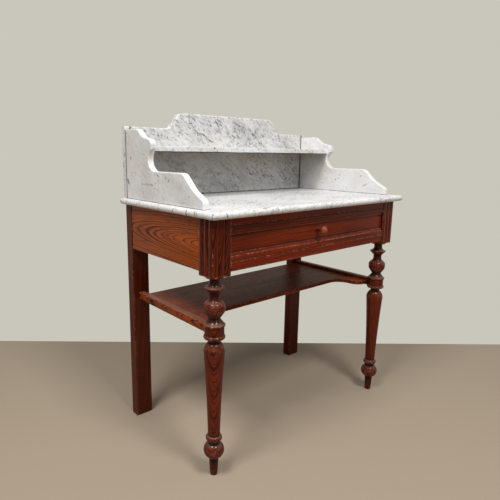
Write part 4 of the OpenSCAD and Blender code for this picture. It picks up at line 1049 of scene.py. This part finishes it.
class WASHSTAND_OT_shelf_rails(bpy.types.Operator):
    """Makes the rails that carry the lower shelf, hollowed round the legs' drums"""
    bl_idname = "washstand.shelf_rails"
    bl_label = "Shelf rails"

    def execute(self, context):
        # Section in millimetres, to the right and up: round at the lower outer corner and
        # eased at the others, with a point on either side of the top of the drum's bead.
        # The wear of an upper arris fades out over a few millimetres.
        x0, x1, z0, z1, r, e, fade = 388.0, 408.0, 432.0, 461.0, 10.0, 1.2, 5
        bead, drum_r, bead_r = 438.3, 28.3, 31.3
        section = path(arc(x0 + e, z0 + e, e, 180, 270, 4), (x0 + 4, z0),
                       arc(x1 - r, z0 + r, r, 270, 360, 12), (x1, z1 - fade),
                       arc(x1 - e, z1 - e, e, 0, 90, 4), (x1 - fade, z1), (x0 + fade, z1),
                       arc(x0 + e, z1 - e, e, 90, 180, 4), (x0, z1 - fade),
                       (x0, bead + 0.2), (x0, bead - 0.2))
        x, z = section.T
        # Wear on the upper arrises, and less on the lower face
        wear = np.where((z > z1 - 1.3) & ((x > x1 - 1.5) | (x < x0 + 1.5)), 1.0, 0.0)
        wear[z < z0 + 1.3] = 0.4
        # The front end is hollowed to the drum: y = axis + sqrt(R^2 - (x - axis)^2).
        reach = np.where(z > bead, drum_r, bead_r)
        start = LEG_AXIS[1] + np.sqrt(reach ** 2 - (x - LEG_AXIS[0] / MM) ** 2) * MM
        along = np.array([[0], [0.02], [0.98], [1]])
        y = start + (box("rear_leg_right")[0][1] - start) * along
        rings = np.stack([x * MM + 0 * y, y, z * MM + 0 * y], axis=-1)
        for side, sign in SIDES.items():
            wood = pine("pitch_pine_planed_varnished_shelf_rail_" + side, "y",
                        (sign * 0.37, 0, 0.45), lean=(0, 3.0 * sign, 0), ring=0.6, red=0.45,
                        bend=8, streaks=0.4, rub=0.6, dusty=0.3)
            make_piece("shelf_rail_board_" + side, ["shelf_rail_" + side],
                       rings * (sign, 1, 1), wear + 0 * y, wood)
        return {"FINISHED"}


# ---- Inner woodwork and iron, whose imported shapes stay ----


def dress(names, material):
    """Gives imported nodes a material."""
    for name in names:
        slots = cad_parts[name].data.materials
        slots.clear()
        slots.append(material)


class WASHSTAND_OT_inner_woodwork(bpy.types.Operator):
    """Gives the drawer's box and the pieces inside the carcass their bare pine"""
    bl_idname = "washstand.inner_woodwork"
    bl_label = "Inner woodwork"

    def execute(self, context):
        pairs = [f"drawer_{kind}_{side}" for kind in ("runner", "guide", "kicker", "side")
                 for side in SIDES]
        dress([*pairs, "drawer_stops", "glue_blocks"],
              pine("pitch_pine_sawn_bare_lengthwise", "y", (0.3, 0, 0.6), lean=(0, 2, 0),
                   bare=True))
        dress(["drawer_back", "drawer_bottom"],
              pine("pitch_pine_sawn_bare_crosswise", "x", (0, 0.05, 0.58), lean=(0, 2, 1),
                   bare=True))
        return {"FINISHED"}


class WASHSTAND_OT_ironwork(bpy.types.Operator):
    """Gives the pins, screws and nails their dull iron"""
    bl_idname = "washstand.ironwork"
    bl_label = "Ironwork"

    def execute(self, context):
        dress(("gallery_pins", "guide_screws", "drawer_bottom_nails"), dull_iron())
        return {"FINISHED"}


# ---- Studio ----

# The photograph's camera: its place, its yaw, pitch and roll in degrees, its focal length and
# principal point in pixels, the picture's width, and the width of the sensor in millimetres
CAMERA_PLACE = (-1.1214, -1.1067, 0.9235)
CAMERA_TURN = (39.1079, -11.0398, 0.4056)
FOCUS, CENTRE, PICTURE, SENSOR = 445.3016, (220.6355, 242.9223), 500, 36
# Distance from the camera to the end of the floor, and the floor's length and half width
FLOOR_END, FLOOR_SIZE = 2.11, 6
# Lamps: place, size in metres and power in watts. All point at the middle of the washstand.
LAMPS = {"front_key": ((-0.27, -1.82, 3.07), 0.8, 50), "left_key": ((-1.81, -0.45, 3.05), 0.9, 55),
         "fill": ((2.2, -1.6, 1.6), 1.6, 5)}
LIT_POINT = (0, 0, 0.6)


class WASHSTAND_OT_studio(bpy.types.Operator):
    """Makes the floor, the soft lights, the pale background and the camera"""
    bl_idname = "washstand.studio"
    bl_label = "Studio"

    def execute(self, context):
        scene = context.scene
        c = colours()
        yaw, pitch, roll = (math.radians(a) for a in CAMERA_TURN)
        ahead = Vector((math.sin(yaw) * math.cos(pitch), math.cos(yaw) * math.cos(pitch),
                        math.sin(pitch)))
        right = Vector((math.cos(yaw), -math.sin(yaw), 0))
        up = right.cross(ahead)
        tilted = right * math.cos(roll) + up * math.sin(roll)
        raised = -right * math.sin(roll) + up * math.cos(roll)
        turn = Matrix((tilted, raised, -ahead)).transposed().to_4x4()
        lens = bpy.data.cameras.new("studio_camera")
        lens.sensor_width = SENSOR
        lens.lens = FOCUS / PICTURE * SENSOR
        lens.shift_x = (PICTURE / 2 - CENTRE[0]) / PICTURE
        lens.shift_y = (CENTRE[1] - PICTURE / 2) / PICTURE
        lens.clip_start, lens.clip_end = 0.05, 50
        camera = bpy.data.objects.new("studio_camera", lens)
        camera.matrix_world = Matrix.Translation(CAMERA_PLACE) @ turn
        scene.collection.objects.link(camera)
        scene.camera = camera
        # Floor: it ends on a line square to the camera's view, where the wall begins.
        flat = Vector((math.sin(yaw), math.cos(yaw), 0))
        beyond = Vector((*CAMERA_PLACE[:2], 0)) + flat * FLOOR_END
        corners = [beyond + right * s * FLOOR_SIZE - flat * d * FLOOR_SIZE
                   for s, d in ((-1, 1), (1, 1), (1, 0), (-1, 0))]
        mesh = bpy.data.meshes.new("floor")
        mesh.from_pydata([tuple(p) for p in corners], [], [(0, 1, 2, 3)])
        mesh.materials.append(plain("concrete_smoothed", c.floor, 0.9))
        floor = bpy.data.objects.new("floor", mesh)
        scene.collection.objects.link(floor)
        # Lights: one high in front, one high at the left and a weak one from the right.
        for name, (place, size, power) in LAMPS.items():
            data = bpy.data.lights.new(name, "AREA")
            data.size, data.energy = size, power
            lamp = bpy.data.objects.new(name, data)
            aim = Vector(LIT_POINT) - Vector(place)
            lamp.matrix_world = (Matrix.Translation(place)
                                 @ aim.to_track_quat("-Z", "Y").to_matrix().to_4x4())
            scene.collection.objects.link(lamp)
        # The background is seen and reflected as the wall's colour, and lights weakly.
        world = bpy.data.worlds.new("studio")
        world.use_nodes = True
        world.node_tree.nodes.clear()
        add = partial(add_node, world.node_tree)
        rays = add("LightPath")
        seen = rays.outputs["Is Camera Ray"]
        for kind in ("Is Transmission Ray", "Is Glossy Ray"):
            seen = add("Math MAXIMUM", {0: seen, 1: rays.outputs[kind]})
        light = add("Background", {"Color": (1.0, 0.99, 0.97), "Strength": 0.22})
        backdrop = add("Background", {"Color": tuple(c.wall), "Strength": 1.0})
        mixed = add("MixShader", {0: seen, 1: light, 2: backdrop})
        add("OutputWorld", {"Surface": mixed})
        scene.world = world
        scene.view_settings.view_transform = "Standard"
        return {"FINISHED"}


# ---- Panel and registration ----

OPERATORS = (
    WASHSTAND_OT_marble_top, WASHSTAND_OT_back_slab, WASHSTAND_OT_side_slabs,
    WASHSTAND_OT_small_shelf, WASHSTAND_OT_turned_legs, WASHSTAND_OT_rear_legs,
    WASHSTAND_OT_aprons, WASHSTAND_OT_drawer_rails, WASHSTAND_OT_drawer_front,
    WASHSTAND_OT_knob, WASHSTAND_OT_lower_shelf, WASHSTAND_OT_shelf_rails,
    WASHSTAND_OT_inner_woodwork, WASHSTAND_OT_ironwork, WASHSTAND_OT_studio,
)


class VIEW3D_PT_washstand(bpy.types.Panel):
    """Sizes, colours and pieces of the washstand"""
    bl_label = "Washstand"
    bl_idname = "VIEW3D_PT_washstand"
    bl_space_type = "VIEW_3D"
    bl_region_type = "UI"
    bl_category = "Washstand"

    def draw(self, context):
        for group in (context.scene.washstand_sizes, context.scene.washstand_colours):
            column = self.layout.column(align=True)
            for name in group.__annotations__:
                column.prop(group, name)
        column = self.layout.column()
        for operator in OPERATORS:
            column.operator(operator.bl_idname)


CLASSES = (WashstandSizes, WashstandColours, *OPERATORS, VIEW3D_PT_washstand)


def register():
    for cls in CLASSES:
        bpy.utils.register_class(cls)
    bpy.types.Scene.washstand_sizes = PointerProperty(type=WashstandSizes)
    bpy.types.Scene.washstand_colours = PointerProperty(type=WashstandColours)


def unregister():
    del bpy.types.Scene.washstand_colours
    del bpy.types.Scene.washstand_sizes
    for cls in reversed(CLASSES):
        bpy.utils.unregister_class(cls)


def main():
    register()
    for operator in OPERATORS:
        group, name = operator.bl_idname.split(".")
        getattr(getattr(bpy.ops, group), name)()


if __name__ == "__main__":
    main()
